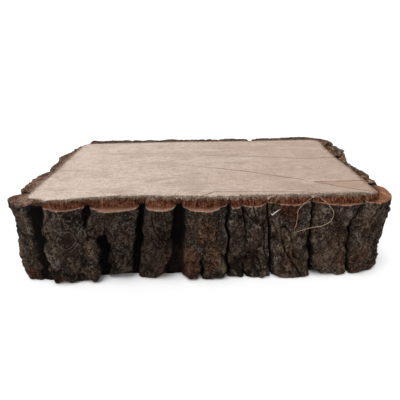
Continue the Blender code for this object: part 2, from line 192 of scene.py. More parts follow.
# Coloured patches on the front: mask, x, z, half width, half height, strength
PATCHES = (
    ("orange", 0.001, 0.050, 0.0065, 0.0130, 0.9),
    ("red", -0.012, 0.018, 0.0090, 0.0200, 0.7),
    ("orange", 0.006, 0.024, 0.0060, 0.0120, 0.6),
    ("red", -0.026, 0.018, 0.0080, 0.0150, 0.4),
    ("red", 0.064, 0.064, 0.0085, 0.0075, 1.0),
    ("red", 0.069, 0.053, 0.0040, 0.0070, 0.9),
    ("tan", 0.064, 0.034, 0.0055, 0.0080, 0.9),
    ("orange", 0.070, 0.018, 0.0060, 0.0110, 0.7),
    ("tan", 0.062, 0.005, 0.0070, 0.0040, 0.6),
    ("red", -0.122, 0.004, 0.0075, 0.0060, 0.9),
    ("red", -0.142, 0.005, 0.0070, 0.0060, 0.9),
    ("orange", -0.091, 0.034, 0.0030, 0.0140, 0.5),
    ("red", -0.150, 0.060, 0.0080, 0.0100, 0.35),
    ("red", 0.104, 0.040, 0.0050, 0.0120, 0.35),
    ("orange", 0.112, 0.020, 0.0030, 0.0140, 0.5),
    ("red", 0.128, 0.020, 0.0070, 0.0120, 0.3),
    ("orange", -0.086, 0.046, 0.0040, 0.0020, 0.6),
    ("red", 0.041, 0.030, 0.0060, 0.0160, 0.3),
    ("pocket", 0.150, 0.068, 0.0160, 0.0100, 1.0),
    ("pocket", 0.105, 0.068, 0.0460, 0.0100, 0.45),
)

# Stray patches all round: mask, squash and size of their noise, the noise's low and high,
# how far the front is spared, and strength
STRAYS = (
    ("red", 0.55, 0.016, 0.30, 0.48, 0.65, 0.75),
    ("orange", 1.0, 0.022, 0.36, 0.50, 0.80, 0.55),
)

# Colours of the flaked bark: mask, strength, and stops from dark to light
FLAKES = (
    ("red", 0.85, ((0.40, (0.012, 0.0042, 0.0026)), (0.50, (0.043, 0.0150, 0.0082)),
                   (0.62, (0.105, 0.0430, 0.0250)))),
    ("orange", 0.80, ((0.40, (0.020, 0.0090, 0.0050)), (0.50, (0.078, 0.0360, 0.0190)),
                      (0.62, (0.170, 0.0950, 0.0560)))),
    ("tan", 0.80, ((0.40, (0.026, 0.0180, 0.0110)), (0.51, (0.090, 0.0600, 0.0350)),
                   (0.63, (0.190, 0.1420, 0.0920)))),
)

# Lines on the sawn top: strength, half width, and the points that each runs through; the checks
# among them are painted dark as shade
TOP_LINES = (
    (0.55, 0.00045, ((-0.020, 0.0030), (-0.003, -0.0047), (0.020, -0.0110))),
    (0.90, 0.00055, ((0.010, -0.0085), (0.041, -0.0185), (0.083, -0.0376))),
    (0.90, 0.00055, ((0.090, -0.0415), (0.126, -0.0411), (0.134, -0.0406))),
    (0.90, 0.00055, ((0.090, -0.0415), (0.108, -0.0515), (0.123, -0.0590),
                     (0.129, -0.0610))),
    (0.95, 0.00055, ((-0.001, -0.0625), (0.0025, -0.0600), (0.0065, -0.0568),
                     (0.0120, -0.0580))),
    (0.75, 0.00045, ((0.012, -0.0580), (0.035, -0.0575), (0.082, -0.0612),
                     (0.124, -0.0625))),
    (0.30, 0.00150, ((-0.002, 0.0256), (0.048, 0.0202), (0.101, 0.0120), (0.129, 0.0145))),
    (0.55, 0.00055, ((0.048, 0.0202), (0.101, 0.0120), (0.129, 0.0145))),
    (0.45, 0.00050, ((0.021, 0.0041), (0.038, 0.0011))),
    (0.60, 0.00050, ((0.090, -0.0067), (0.097, -0.0133))),
    (0.14, 0.00300, ((-0.046, -0.0354), (-0.004, -0.0201))),
    (0.12, 0.00160, ((-0.110, 0.0320), (-0.070, 0.0335), (-0.020, 0.0300),
                     (0.030, 0.0370))),
    (0.12, 0.00160, ((-0.060, 0.0480), (0.010, 0.0455), (0.080, 0.0500),
                     (0.126, 0.0470))),
)
WEDGE = ((0.090, -0.0415), (0.136, -0.0406), (0.131, -0.0625))

# The loose fibre and the splinter, as in the CAD model, with the fibre's tail on the wood
FIBRE_RADIUS = 0.00018
FIBRE_TAIL = ((0.0802, -0.0545, 0.0734), (0.0822, -0.0600, 0.0736), (0.0838, -0.0640, 0.0731))
FIBRE_ROUTE = (
    (0.0850, -0.0670, 0.0720),
    (0.0872, -0.0702, 0.0716),
    (0.0897, -0.0736, 0.0702),
    (0.0930, -0.0750, 0.0668),
    (0.0958, -0.0753, 0.0630),
    (0.0962, -0.0755, 0.0590),
    (0.0944, -0.0756, 0.0545),
    (0.0918, -0.0756, 0.0518),
    (0.0864, -0.0754, 0.0502),
    (0.0806, -0.0752, 0.0492),
    (0.0746, -0.0752, 0.0475),
    (0.0686, -0.0752, 0.0455),
    (0.0676, -0.0752, 0.0462),
    (0.0684, -0.0751, 0.0520),
    (0.0682, -0.0749, 0.0580),
    (0.0690, -0.0744, 0.0640),
    (0.0722, -0.0736, 0.0682),
    (0.0760, -0.0716, 0.0708),
    (0.0808, -0.0684, 0.0718),
)
FIBRE_CORNER = 12
SPLINTER_ENDS = ((0.0490, -0.0752, 0.0610), (0.0546, -0.0755, 0.0660))
SPLINTER_HOOK = (-0.0010, 0.0, 0.0012)
SPLINTER_RADIUS = 0.00034

# Plates: how far their middles stand out, low down and at the rim, and their unevenness
CROWN = 0.0034
CROWN_SHAPE = 0.55
RIM_CROWN = 0.0088
RIM_CROWN_SHAPE = 0.78
RIM_CROWN_FROM = 0.62
SIDE_CROWN = 0.0012
CROWN_MEAN = 0.86
PLATE_LIFT = 0.0010
PLATE_TILT = 0.0020
WIDE_PLATE = 0.026
NARROW_POWER = 1.6

# Furrows: height and size of the waves in their course, swing of their width, the depth
# at which they are fully open, and where a wall begins and ends as a share of the width
FURROW_WAVES = ((0.0010, 0.010), (0.0006, 0.0034))
WIDTH_SWING = 0.35
WIDTH_WAVE = 0.007
OPEN_DEPTH = 0.003
WALL_SPAN = (0.22, 0.66)

# Noise on the bark is read a little way out from the wood, at points that lean over
# along the outline and are squashed in height: lean, then squash
NOISE_OUT = 0.010
HALF_HEIGHT = 0.036
STRAIGHT = (0.0, 1.0)
UPRIGHT = (0.12, 1.0)
LEANING = (0.30, 0.42)
COUNTER = (-0.60, 0.60)
LYING = (0.0, 2.3)

# The bark's surface: scales that overlap like terraces, then lumps, swells and grains
TERRACES = 3.4
TERRACE_SIZE = 0.0170
TERRACE_HEIGHT = 0.0011
TERRACE_BASE = 0.35
TERRACE_EDGE = 0.26
LUMP_SIZE = 0.0038
LUMP_HEIGHT = 0.0012
LUMP_SQUASH = (1.0, 1.0, 0.6)
SWELL_SIZE = 0.0085
SWELL_HEIGHT = 0.0010
GRAIN_SIZE = 0.0021
GRAIN_HEIGHT = 0.00050
DETAIL_RANGE = 0.0024

# Cracks: lean and squash, size, narrowness, depth, darkness of the shade painted into them, and
# whether a knot stops them
CRACKS = (
    (LEANING, 0.0150, 0.085, 0.0020, 1.0, True),
    (COUNTER, 0.0130, 0.070, 0.0014, 0.8, True),
    (LYING, 0.0170, 0.060, 0.0008, 0.5, False),
)

# How much calmer the front is under the rim and above the foot, and at which levels
RIM_CALM = 0.70
RIM_CALM_LEVELS = (0.88, 0.99)
FOOT_CALM = 0.65
FOOT_CALM_LEVELS = (0.0, 0.13)

# The knot: side, place and height, its reach, its oval, its eye and its rings
KNOT = ("front", -0.1084, 0.0414)
KNOT_REACH = 0.0125
KNOT_OVAL = 1.20
KNOT_WAVER = 0.0021
KNOT_EYE = 0.0050
EYE_DEPTH = 0.0013
RING_GAP = 0.0027
RING_HEIGHT = 0.0007

# How much darker the front is made, from left to right: x, and the share of dark
SHADES = (
    (-0.150, 0.10), (-0.128, 0.14), (-0.112, 0.30), (-0.098, 0.40), (-0.080, 0.50),
    (-0.060, 0.54), (-0.032, 0.60), (-0.018, 0.50), (0.008, 0.36), (0.018, 0.00),
    (0.104, 0.00), (0.132, 0.16), (0.150, 0.16),
)

# Stretches of the outline, walked anticlockwise: where each begins and ends
FRONT = (("front", -0.137), ("right", -0.050))
FACING = (("left", -0.055), ("right", -0.050))
BROKEN = (("right", -0.044), ("back", 0.122))
BACK = (("back", 0.118), ("left", 0.050))

# The sawn wood: half the grid's faces each way, depth and height of the marks on its top,
# and the rings of its underside as shares of its size
WOOD_HALF_ACROSS = 217
WOOD_HALF_UP = 106
TOP_GAP = 0.00012
MARK_HEIGHT = 0.00006
ROUGH_HEIGHT = 0.00003
CHECK_DEPTH = 0.0003
FRAY_DEPTH = 0.0005
FRAY_WIDTH = 0.0012
UNDER_Z = 0.00004
UNDER_RINGS = (0.8, 0.5, 0.2)

# Short fibres along the front edge: how many, and the sides and rings of each
TORN_COUNT = 1700
TORN_SIDES = 3
TORN_RINGS = 4

# The sawn wood's colour at its left and right ends
LEFT_WOOD = (0.615, 0.505, 0.435)
RIGHT_WOOD = (0.440, 0.332, 0.266)

# The stage: camera, floor and light
CAMERA_PLACE = (-0.0135, -0.3124, 0.1958)
CAMERA_HEADING = math.radians(2.3)
CAMERA_DOWN = math.radians(27.2)
CAMERA_LENS = 32.4
FLOOR_COLOUR = (0.94, 0.94, 0.94, 1.0)
FLOOR_GAP = 0.00002
FLAT_RADIUS = 1.0
WALL_RADIUS = 6.0
WALL_HEIGHT = 6.0
PROFILE_STEPS = 32
FLOOR_SIDES = 96
SKY_STRENGTH = 0.20
SUN_STRENGTH = 2.55
SUN_WIDTH = math.radians(35)
SUN_TURN = (math.radians(12), math.radians(-10), 0.0)

SEED = 11
OCTAVE_TURN = np.array(((0.36, 0.48, -0.80), (-0.80, 0.60, 0.00), (0.48, 0.64, 0.60)))


# ---------------------------------------------------------------- noise

def lattice(ix, iy, iz, seed):
    """Even numbers from 0 to 1, one for each point of a lattice."""
    mixed = ix.astype(np.uint32) * np.uint32(0x8DA6B343)
    mixed = mixed ^ (iy.astype(np.uint32) * np.uint32(0xD8163841))
    mixed = mixed ^ (iz.astype(np.uint32) * np.uint32(0xCB1AB31F))
    mixed = mixed ^ np.uint32((seed * 0x9E3779B1) & 0xFFFFFFFF)
    mixed = (mixed ^ (mixed >> np.uint32(15))) * np.uint32(0x2C1B3C6D)
    mixed = (mixed ^ (mixed >> np.uint32(12))) * np.uint32(0x297A2D39)
    return ((mixed ^ (mixed >> np.uint32(15))) & np.uint32(0xFFFFFF)) / float(0xFFFFFF)


def smooth_noise(points, size, seed):
    """Noise from -1 to 1 that changes over the given size."""
    scaled = points / size
    base = np.floor(scaled)
    part = scaled - base
    ease = part * part * part * (part * (part * 6 - 15) + 10)
    corner = base.astype(np.int64)
    total = np.zeros(points.shape[:-1])
    for dx in (0, 1):
        wx = ease[..., 0] if dx else 1 - ease[..., 0]
        for dy in (0, 1):
            wy = ease[..., 1] if dy else 1 - ease[..., 1]
            for dz in (0, 1):
                wz = ease[..., 2] if dz else 1 - ease[..., 2]
                value = lattice(corner[..., 0] + dx, corner[..., 1] + dy,
                                corner[..., 2] + dz, seed)
                total += wx * wy * wz * value
    return total * 2 - 1


def layered_noise(points, size, octaves, seed, roughness=0.5):
    """Layers of noise, each half the size of the last."""
    total = np.zeros(points.shape[:-1])
    strength = 1.0
    weight = 0.0
    for octave in range(octaves):
        points = points @ OCTAVE_TURN.T
        total += strength * smooth_noise(points, size, seed + 17 * octave)
        weight += strength
        strength *= roughness
        size *= 0.5
    return total / weight


def line_noise(values, size, seed):
    """Noise along a line."""
    points = np.stack([values, np.zeros_like(values), np.zeros_like(values)], axis=-1)
    return smooth_noise(points, size, seed)


def ease_between(low, high, value):
    """Smooth rise from 0 at the low value to 1 at the high one."""
    part = np.clip((value - low) / (high - low), 0.0, 1.0)
    return part * part * (3 - 2 * part)


# ---------------------------------------------------------------- outline

class Outline:
    """The wood's rounded outline, walked anticlockwise from its front left corner."""

    def __init__(self):
        self.names = [side for side, *_ in WOOD_CORNERS]
        corners = [np.array(corner) for _, *corner in WOOD_CORNERS]
        count = len(corners)
        gaps = [corners[(i + 1) % count] - corners[i] for i in range(count)]
        alongs = [gap / np.linalg.norm(gap) for gap in gaps]
        turns = [math.acos(float(alongs[i - 1] @ alongs[i])) for i in range(count)]
        self.sides = []
        position = 0.0
        for i in range(count):
            trim = CORNER_RADIUS * math.tan(turns[i] / 2)
            end_trim = CORNER_RADIUS * math.tan(turns[(i + 1) % count] / 2)
            side = {
                "begin": corners[i] + alongs[i] * trim,
                "along": alongs[i],
                "length": float(np.linalg.norm(gaps[i])) - trim - end_trim,
                "turn": turns[(i + 1) % count],
                "start": position,
            }
            side["arc"] = (CORNER_RADIUS + BARK_MIDDLE) * side["turn"]
            position += side["length"] + side["arc"]
            self.sides.append(side)
        self.total = position
        self.shift = np.zeros(2)
        self.knots = self.bark_knots()

    def place(self, side_name, coordinate):
        """Distance round the outline at which a side has this x (or y, at the ends)."""
        index = self.names.index(side_name)
        side = self.sides[index]
        axis = index % 2
        return side["start"] + (coordinate - side["begin"][axis]) / side["along"][axis]

    def bark_knots(self):
        """The table of the bark's thickness in walking order, closed into a ring."""
        knots = [(self.place(side, place) % self.total, *values)
                 for side, place, *values in BARK]
        knots.sort()
        first = (knots[0][0] + self.total, *knots[0][1:])
        last = (knots[-1][0] - self.total, *knots[-1][1:])
        return np.array([last, *knots, first])

    def bark_values(self, distance):
        """Thickness at the rim, thickness at the foot and drop of the rim."""
        wrapped = distance % self.total
        after = np.clip(np.searchsorted(self.knots[:, 0], wrapped), 1, len(self.knots) - 1)
        low = self.knots[after - 1]
        high = self.knots[after]
        part = ((wrapped - low[..., 0]) / (high[..., 0] - low[..., 0]))[..., None]
        ease = part * part * (3 - 2 * part)
        return np.moveaxis(low[..., 1:] + (high[..., 1:] - low[..., 1:]) * ease, -1, 0)

    def apart(self, first, second):
        """Distance from the first place to the second, the short way round."""
        half = self.total / 2
        return (second - first + half) % self.total - half

    def stretch(self, distance, begin, end):
        """Distance walked from where a stretch begins, and the stretch's length."""
        start = self.place(*begin)
        length = (self.place(*end) - start) % self.total
        return (distance - start) % self.total, length

    def bend(self, distance):
        """How far the wood's edge is bent inward."""
        inward = np.zeros_like(distance)
        for side, place, half_length, amount in EDGE_BENDS:
            reach = np.abs(self.apart(self.place(side, place), distance)) / half_length
            inward += amount * (0.5 + 0.5 * np.cos(np.pi * np.minimum(reach, 1.0)))
        return inward

    def edge(self, distance):
        """Points on the wood's edge, and the ways out from it."""
        wrapped = distance % self.total
        point = np.zeros(distance.shape + (2,))
        outward = np.zeros(distance.shape + (2,))
        for side in self.sides:
            local = wrapped - side["start"]
            out = np.array((side["along"][1], -side["along"][0]))
            straight = (local >= 0) & (local <= side["length"])
            point[straight] = side["begin"] + side["along"] * local[straight][:, None]
            outward[straight] = out
            bent = (local > side["length"]) & (local <= side["length"] + side["arc"])
            angle = side["turn"] * (local[bent] - side["length"]) / side["arc"]
            cos, sin = np.cos(angle), np.sin(angle)
            turned = np.stack([out[0] * cos - out[1] * sin, out[0] * sin + out[1] * cos], -1)
            end = side["begin"] + side["along"] * side["length"]
            point[bent] = end - out * CORNER_RADIUS + turned * CORNER_RADIUS
            outward[bent] = turned
        point = point - outward * self.bend(distance)[..., None] + self.shift
        return point, outward

    def at(self, distance, out, z):
        """Points in space that stand out from the wood's edge."""
        distance, out, z = np.broadcast_arrays(distance, out, z)
        point, outward = self.edge(distance)
        flat = point + outward * out[..., None]
        return np.concatenate([flat, z[..., None]], axis=-1)


def centred_outline():
    """The outline, moved to where the CAD model's sawn top is."""
    outline = Outline()
    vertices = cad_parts["wood_slice"].data.vertices
    places = np.empty(len(vertices) * 3)
    vertices.foreach_get("co", places)
    places = places.reshape(-1, 3)
    top = places[places[:, 2] > THICKNESS - 1e-4][:, :2]
    edge, outward = outline.edge(np.linspace(0, outline.total, 2000))
    outline.shift = (top.min(0) + top.max(0) - edge.min(0) - edge.max(0)) / 2
    return outline


# ---------------------------------------------------------------- bark relief

def furrow_lines(outline):
    """The furrows in walking order, with their places as distances round the outline."""
    lines = [([outline.place(side, place) for place in places], *sizes)
             for side, places, *sizes in FURROWS]
    return sorted(lines, key=lambda line: line[0][-1] % outline.total)


def furrow_centre(line, level, z, seed):
    """Distance round the outline of a furrow's middle, wandering as it climbs."""
    places, *_, ragged = line
    straight = np.interp(1 - level, np.linspace(0, 1, len(places)), places)
    wander = sum(height * line_noise(z, size, seed + index)
                 for index, (height, size) in enumerate(FURROW_WAVES))
    return straight + ragged * wander


def plate_crown(outline, distance, centres, full, shape):
    """Crown and tilt of the plates between the given furrows."""
    crown = np.zeros_like(distance)
    for index, centre in enumerate(centres):
        plate_width = (centres[(index + 1) % len(centres)] - centre) % outline.total
        offset = outline.apart(centre, distance) % outline.total
        part = np.clip(offset / plate_width, 0, 1)
        lift = PLATE_LIFT * (lattice_one(index, 5) - 0.5)
        tilt = PLATE_TILT * (lattice_one(index, 6) - 0.5)
        size = full * np.minimum(plate_width / WIDE_PLATE, 1.0) ** NARROW_POWER
        bulge = size * (np.sin(np.pi * part) ** shape - CROWN_MEAN)
        crown = np.where(offset < plate_width, bulge + lift + tilt * (part - 0.5), crown)
    return crown


def plate_shape(outline, distance, level, z):
    """Crown of each plate, and the furrows between the plates."""
    lines = furrow_lines(outline)
    centres = [furrow_centre(line, level, z, SEED + 31 * index)
               for index, line in enumerate(lines)]
    at_rim = [centre for centre, (_, _, depths, _) in zip(centres, lines) if depths[0] > 0]
    full = SIDE_CROWN + (RIM_CROWN - SIDE_CROWN) * front_share(outline, distance)
    low = plate_crown(outline, distance, centres, CROWN, CROWN_SHAPE)
    high = plate_crown(outline, distance, at_rim, full, RIM_CROWN_SHAPE)
    crown = low + (high - low) * ease_between(RIM_CROWN_FROM, 1.0, level)
    groove = np.zeros_like(distance)
    for index, (_, widths, depths, _) in enumerate(lines):
        depth = np.clip(depths[1] + (depths[0] - depths[1]) * level, 0.0, DEEPEST)
        width = widths[1] + (widths[0] - widths[1]) * level
        swing = WIDTH_SWING * line_noise(z, WIDTH_WAVE, SEED + 31 * index + 2)
        width = width * (1 + swing) * ease_between(0.0, OPEN_DEPTH, depth)
        offset = np.abs(outline.apart(centres[index], distance))
        wall = 1 - ease_between(*WALL_SPAN, offset / np.maximum(width, 1e-6))
        groove = np.maximum(groove, depth * wall)
    return crown, groove


def lattice_one(index, seed):
    """One even number from 0 to 1 for a plate."""
    return float(lattice(np.array([index]), np.array([3]), np.array([7]), seed)[0])


def creases(points, size, octaves, seed):
    """Rounded lumps with sharp creases between them: height, and the creases alone."""
    total = np.zeros(points.shape[:-1])
    crease = np.zeros(points.shape[:-1])
    strength = 1.0
    for octave in range(octaves):
        points = points @ OCTAVE_TURN.T
        lump = np.abs(smooth_noise(points, size, seed + 13 * octave))
        total += strength * (lump - 0.22)
        crease = np.maximum(crease, strength * (1 - ease_between(0.0, 0.13, lump)))
        strength *= 0.62
        size *= 0.48
    return total, crease


def crack_lines(points, size, narrow, seed):
    """Long wandering cracks that come and go."""
    field = layered_noise(points, size, 3, seed)
    gate = ease_between(-0.10, 0.25, layered_noise(points, size * 1.3, 2, seed + 5))
    return gate * (1 - ease_between(narrow * 0.25, narrow, np.abs(field)))


def foot_wear(outline, distance, z):
    """How much of the bark is worn away near the foot."""
    worn = np.zeros_like(distance)
    for side, place, half_length, depth in FOOT_CUTS:
        reach = np.abs(outline.apart(outline.place(side, place), distance)) / half_length
        worn = np.maximum(worn, depth * (1 - ease_between(0.45, 1.0, reach)))
    return worn * np.clip(1 - z / FOOT_CUT_HEIGHT, 0, 1) ** 1.4


def noise_points(outline, distance, z, lean_and_squash):
    """Where the bark's noise is read."""
    lean, squash = lean_and_squash
    return outline.at(distance + lean * (z - HALF_HEIGHT), NOISE_OUT, z * squash)


def crack_shape(outline, distance, z, knot):
    """Depth of the cracks, and how dark they are painted as shade."""
    depth = np.zeros_like(distance)
    dark = np.zeros_like(distance)
    for index, (leaning, size, narrow, deep, darkness, stopped) in enumerate(CRACKS):
        points = noise_points(outline, distance, z, leaning)
        shaded_crack = crack_lines(points, size, narrow, SEED + 3 + index) * (1 - knot * stopped)
        depth = depth + deep * shaded_crack
        dark = np.maximum(dark, darkness * shaded_crack)
    return depth, dark


def bark_relief(outline, distance, level, z):
    """How far the bark's face stands out from the wood's edge, what it is made of, and where
    light and shade are painted on it.
    """
    at_rim, at_foot, _ = outline.bark_values(distance)
    thickness = at_foot + (at_rim - at_foot) * level
    leaning = noise_points(outline, distance, z, LEANING)
    crown, groove = plate_shape(outline, distance, level, z)

    scale = TERRACES * layered_noise(leaning, TERRACE_SIZE, 4, SEED + 1, 0.55)
    whole = np.floor(scale)
    edge = ease_between(0.0, TERRACE_EDGE, scale - whole)
    terrace = TERRACE_HEIGHT * (whole - TERRACE_BASE + edge)
    number = whole.astype(np.int64)
    knot, ring = knot_rings(outline, distance, z)
    upright = noise_points(outline, distance, z, UPRIGHT) * np.array(LUMP_SQUASH)
    lumps, lump_creases = creases(upright, LUMP_SIZE, 4, SEED + 6)
    straight = noise_points(outline, distance, z, STRAIGHT)
    grains = GRAIN_HEIGHT * layered_noise(straight, GRAIN_SIZE, 3, SEED + 9, 0.65)
    swells = layered_noise(leaning, SWELL_SIZE, 3, SEED + 10)
    depth, dark = crack_shape(outline, distance, z, knot)

    front = front_share(outline, distance)
    calm = 1 - RIM_CALM * ease_between(*RIM_CALM_LEVELS, level) * front
    calm = calm * (1 - FOOT_CALM * (1 - ease_between(*FOOT_CALM_LEVELS, level)) * front)
    detail = (1 - 0.7 * knot) * (LUMP_HEIGHT * lumps + SWELL_HEIGHT * swells) + grains
    detail = detail * calm
    height = crown + terrace * calm + detail - calm * depth
    height = height + ring - foot_wear(outline, distance, z)
    return {
        "out": np.maximum(thickness + height - groove, LEAST_BARK + 0.8 * grains),
        # Painted shade: deep furrows are darkened by colour, as the shade in them
        "furrow_shade": ease_between(0.0008, 0.0050, groove),
        # Painted shade: cracks and the creases between lumps are darkened by colour
        "shaded_crack": np.clip(0.95 * dark + 0.36 * lump_creases, 0, 1),
        "dice": lattice(number, number * 0, number, SEED + 2),
        # Painted highlight and shade: high relief is painted lighter, low relief darker
        "high": np.clip(0.5 + detail / DETAIL_RANGE, 0, 1),
        # Painted highlight and shade on the knot: ring crests lighter, troughs and the sunken
        # eye darker
        "ring": 0.5 + 0.5 * np.clip(ring / RING_HEIGHT, -1, 1),
        "shade": front_shade(outline, distance),
    }


def front_shade(outline, distance):
    """How much darker the front is made, from left to right."""
    side = outline.sides[0]
    along = outline.apart(side["start"], distance)
    x = side["begin"][0] + side["along"][0] * along
    places, shades = zip(*SHADES)
    return np.interp(x, places, shades) * facing_share(outline, distance)


def knot_rings(outline, distance, z):
    """An oval eye in the bark: where it is, and its rings."""
    side, place, knot_z = KNOT
    points = noise_points(outline, distance, z, STRAIGHT)
    across = outline.apart(outline.place(side, place), distance)
    waver = KNOT_WAVER * layered_noise(points, 0.0085, 3, SEED + 33)
    reach = np.hypot(across * KNOT_OVAL, z - knot_z) + waver
    fade = np.exp(-(reach / KNOT_REACH) ** 4)
    eye = 1 - ease_between(KNOT_EYE * 0.7, KNOT_EYE * 1.3, reach)
    broken = ease_between(-0.55, 0.20, layered_noise(points, 0.0065, 2, SEED + 34))
    waves = RING_HEIGHT * broken * np.cos(2 * np.pi * reach / RING_GAP)
    return fade, fade * (waves * (1 - eye) - EYE_DEPTH * eye)


def patch_masks(points, front):
    """Where the bark is flaked to red, orange or tan."""
    masks = {kind: np.zeros(points.shape[:2]) for kind in ("red", "orange", "tan", "pocket")}
    wobble_x = 0.0035 * layered_noise(points, 0.008, 3, SEED + 40)
    wobble_z = 0.0045 * layered_noise(points, 0.008, 3, SEED + 41)
    for kind, x, z, half_width, half_height, strength in PATCHES:
        reach = np.hypot((points[..., 0] + wobble_x - x) / half_width,
                         (points[..., 2] + wobble_z - z) / half_height)
        mask = strength * front * (1 - ease_between(0.75, 1.15, reach))
        masks[kind] = np.maximum(masks[kind], mask)
    for index, (kind, squash, size, low, high, spared, strength) in enumerate(STRAYS):
        stray = layered_noise(points * np.array((1.0, 1.0, squash)), size, 4, SEED + 42 + index)
        elsewhere = ease_between(low, high, stray) * (1 - spared * front)
        masks[kind] = np.maximum(masks[kind], strength * elsewhere)
    return masks


# ---------------------------------------------------------------- meshes

def grid_faces(rows, columns):
    """Four-cornered faces between neighbouring rows and columns."""
    row, column = np.meshgrid(np.arange(rows - 1), np.arange(columns - 1), indexing="ij")
    corner = row * columns + column
    return np.stack([corner, corner + 1, corner + columns + 1, corner + columns],
                    axis=-1).reshape(-1, 4)


def mesh_object(name, points, quads, caps):
    """A mesh from a grid's faces and its flat end faces."""
    loops = np.concatenate([quads.ravel(), *caps]).astype(np.int32)
    sizes = np.array([4] * len(quads) + [len(cap) for cap in caps])
    starts = np.concatenate([[0], np.cumsum(sizes)[:-1]]).astype(np.int32)
    mesh = bpy.data.meshes.new(name)
    mesh.vertices.add(len(points))
    mesh.vertices.foreach_set("co", points.astype(np.float32).ravel())
    mesh.loops.add(len(loops))
    mesh.loops.foreach_set("vertex_index", loops)
    mesh.polygons.add(len(sizes))
    mesh.polygons.foreach_set("loop_start", starts)
    mesh.update(calc_edges=True)
    smooth = np.ones(len(sizes), dtype=bool)
    smooth[len(quads):] = False
    mesh.polygons.foreach_set("use_smooth", smooth)
    mesh.validate()
    obj = bpy.data.objects.new(name, mesh)
    bpy.context.scene.collection.objects.link(obj)
    return obj


def mark_sharp(obj, is_cap_vertex):
    """Keep the flat ends from bending the light on the faces beside them."""
    mesh = obj.data
    ends = np.empty(len(mesh.edges) * 2, dtype=np.int32)
    mesh.edges.foreach_get("vertices", ends)
    ends = ends.reshape(-1, 2)
    sharp = is_cap_vertex[ends[:, 0]] & is_cap_vertex[ends[:, 1]]
    attribute = mesh.attributes.new("sharp_edge", "BOOLEAN", "EDGE")
    attribute.data.foreach_set("value", sharp)


def add_mask(obj, name, values):
    """A value for each point, which the material reads."""
    attribute = obj.data.attributes.new(name, "FLOAT", "POINT")
    attribute.data.foreach_set("value", values.astype(np.float32).ravel())


def finish_piece(obj, material, node):
    """Give a piece its material and its body, and hide the CAD node that it stands in for."""
    obj.data.materials.append(material)
    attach(obj, "root")
    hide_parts(node)


# ---------------------------------------------------------------- bark strips

def nibble(outline, distance):
    """How far the wood's top edge is frayed inward, most of all at the front left corner."""
    points = outline.at(distance, 0.0, 0.0)
    front = front_share(outline, distance)
    ragged = layered_noise(points, 0.0036, 4, SEED + 30, 0.65)
    amount = NIBBLE * (0.35 + 0.65 * front) * ease_between(-0.35, 0.55, ragged)
    corner = outline.total - CORNER_REACH * 0.5
    near = 1 - ease_between(0.2, 1.0, np.abs(outline.apart(corner, distance)) / CORNER_REACH)
    amount = amount + CORNER_NIBBLE * near * (0.75 + 0.5 * ragged)
    other = outline.sides[1]["start"] - outline.sides[0]["arc"] * 0.5
    near = 1 - ease_between(0.1, 0.8, np.abs(outline.apart(other, distance)) / CORNER_REACH)
    return amount - CORNER_SPREAD * near


def rim_height(outline, distance, drop, out):
    """Height of the top of the bark's face: even where sawn, ragged where broken."""
    points = outline.at(distance, 0.006, 0.068)
    ragged = layered_noise(points, 0.007, 3, SEED + 20)
    fine = layered_noise(points, 0.0018, 3, SEED + 21)
    amount = ease_between(0.0005, 0.004, drop)
    broken = broken_share(outline, distance)
    swing = 0.0003 + 0.0003 * amount + 0.0016 * broken
    lowered = 0.0006 * broken + 0.0009 * amount * ease_between(0.0070, 0.0110, out)
    return THICKNESS - drop - lowered + swing * ragged + 0.00012 * fine * amount


def broken_share(outline, distance):
    """One on the right side, where the bark's top is broken rather than sawn."""
    along, length = outline.stretch(distance, *BROKEN)
    return ease_between(0.0, 0.006, along) * (1 - ease_between(length - 0.010, length, along))


def foot_height(outline, distance):
    """Height of the foot of the bark's face, chipped here and there."""
    chips = layered_noise(outline.at(distance, 0.006, 0.0), 0.014, 3, SEED + 22)
    return 0.0004 + 0.0026 * ease_between(0.0, 0.9, chips)


def row_parts(rows):
    """Shares from just above 0 to 1, one for each row."""
    return np.linspace(0, 1, rows + 1)[1:, None]


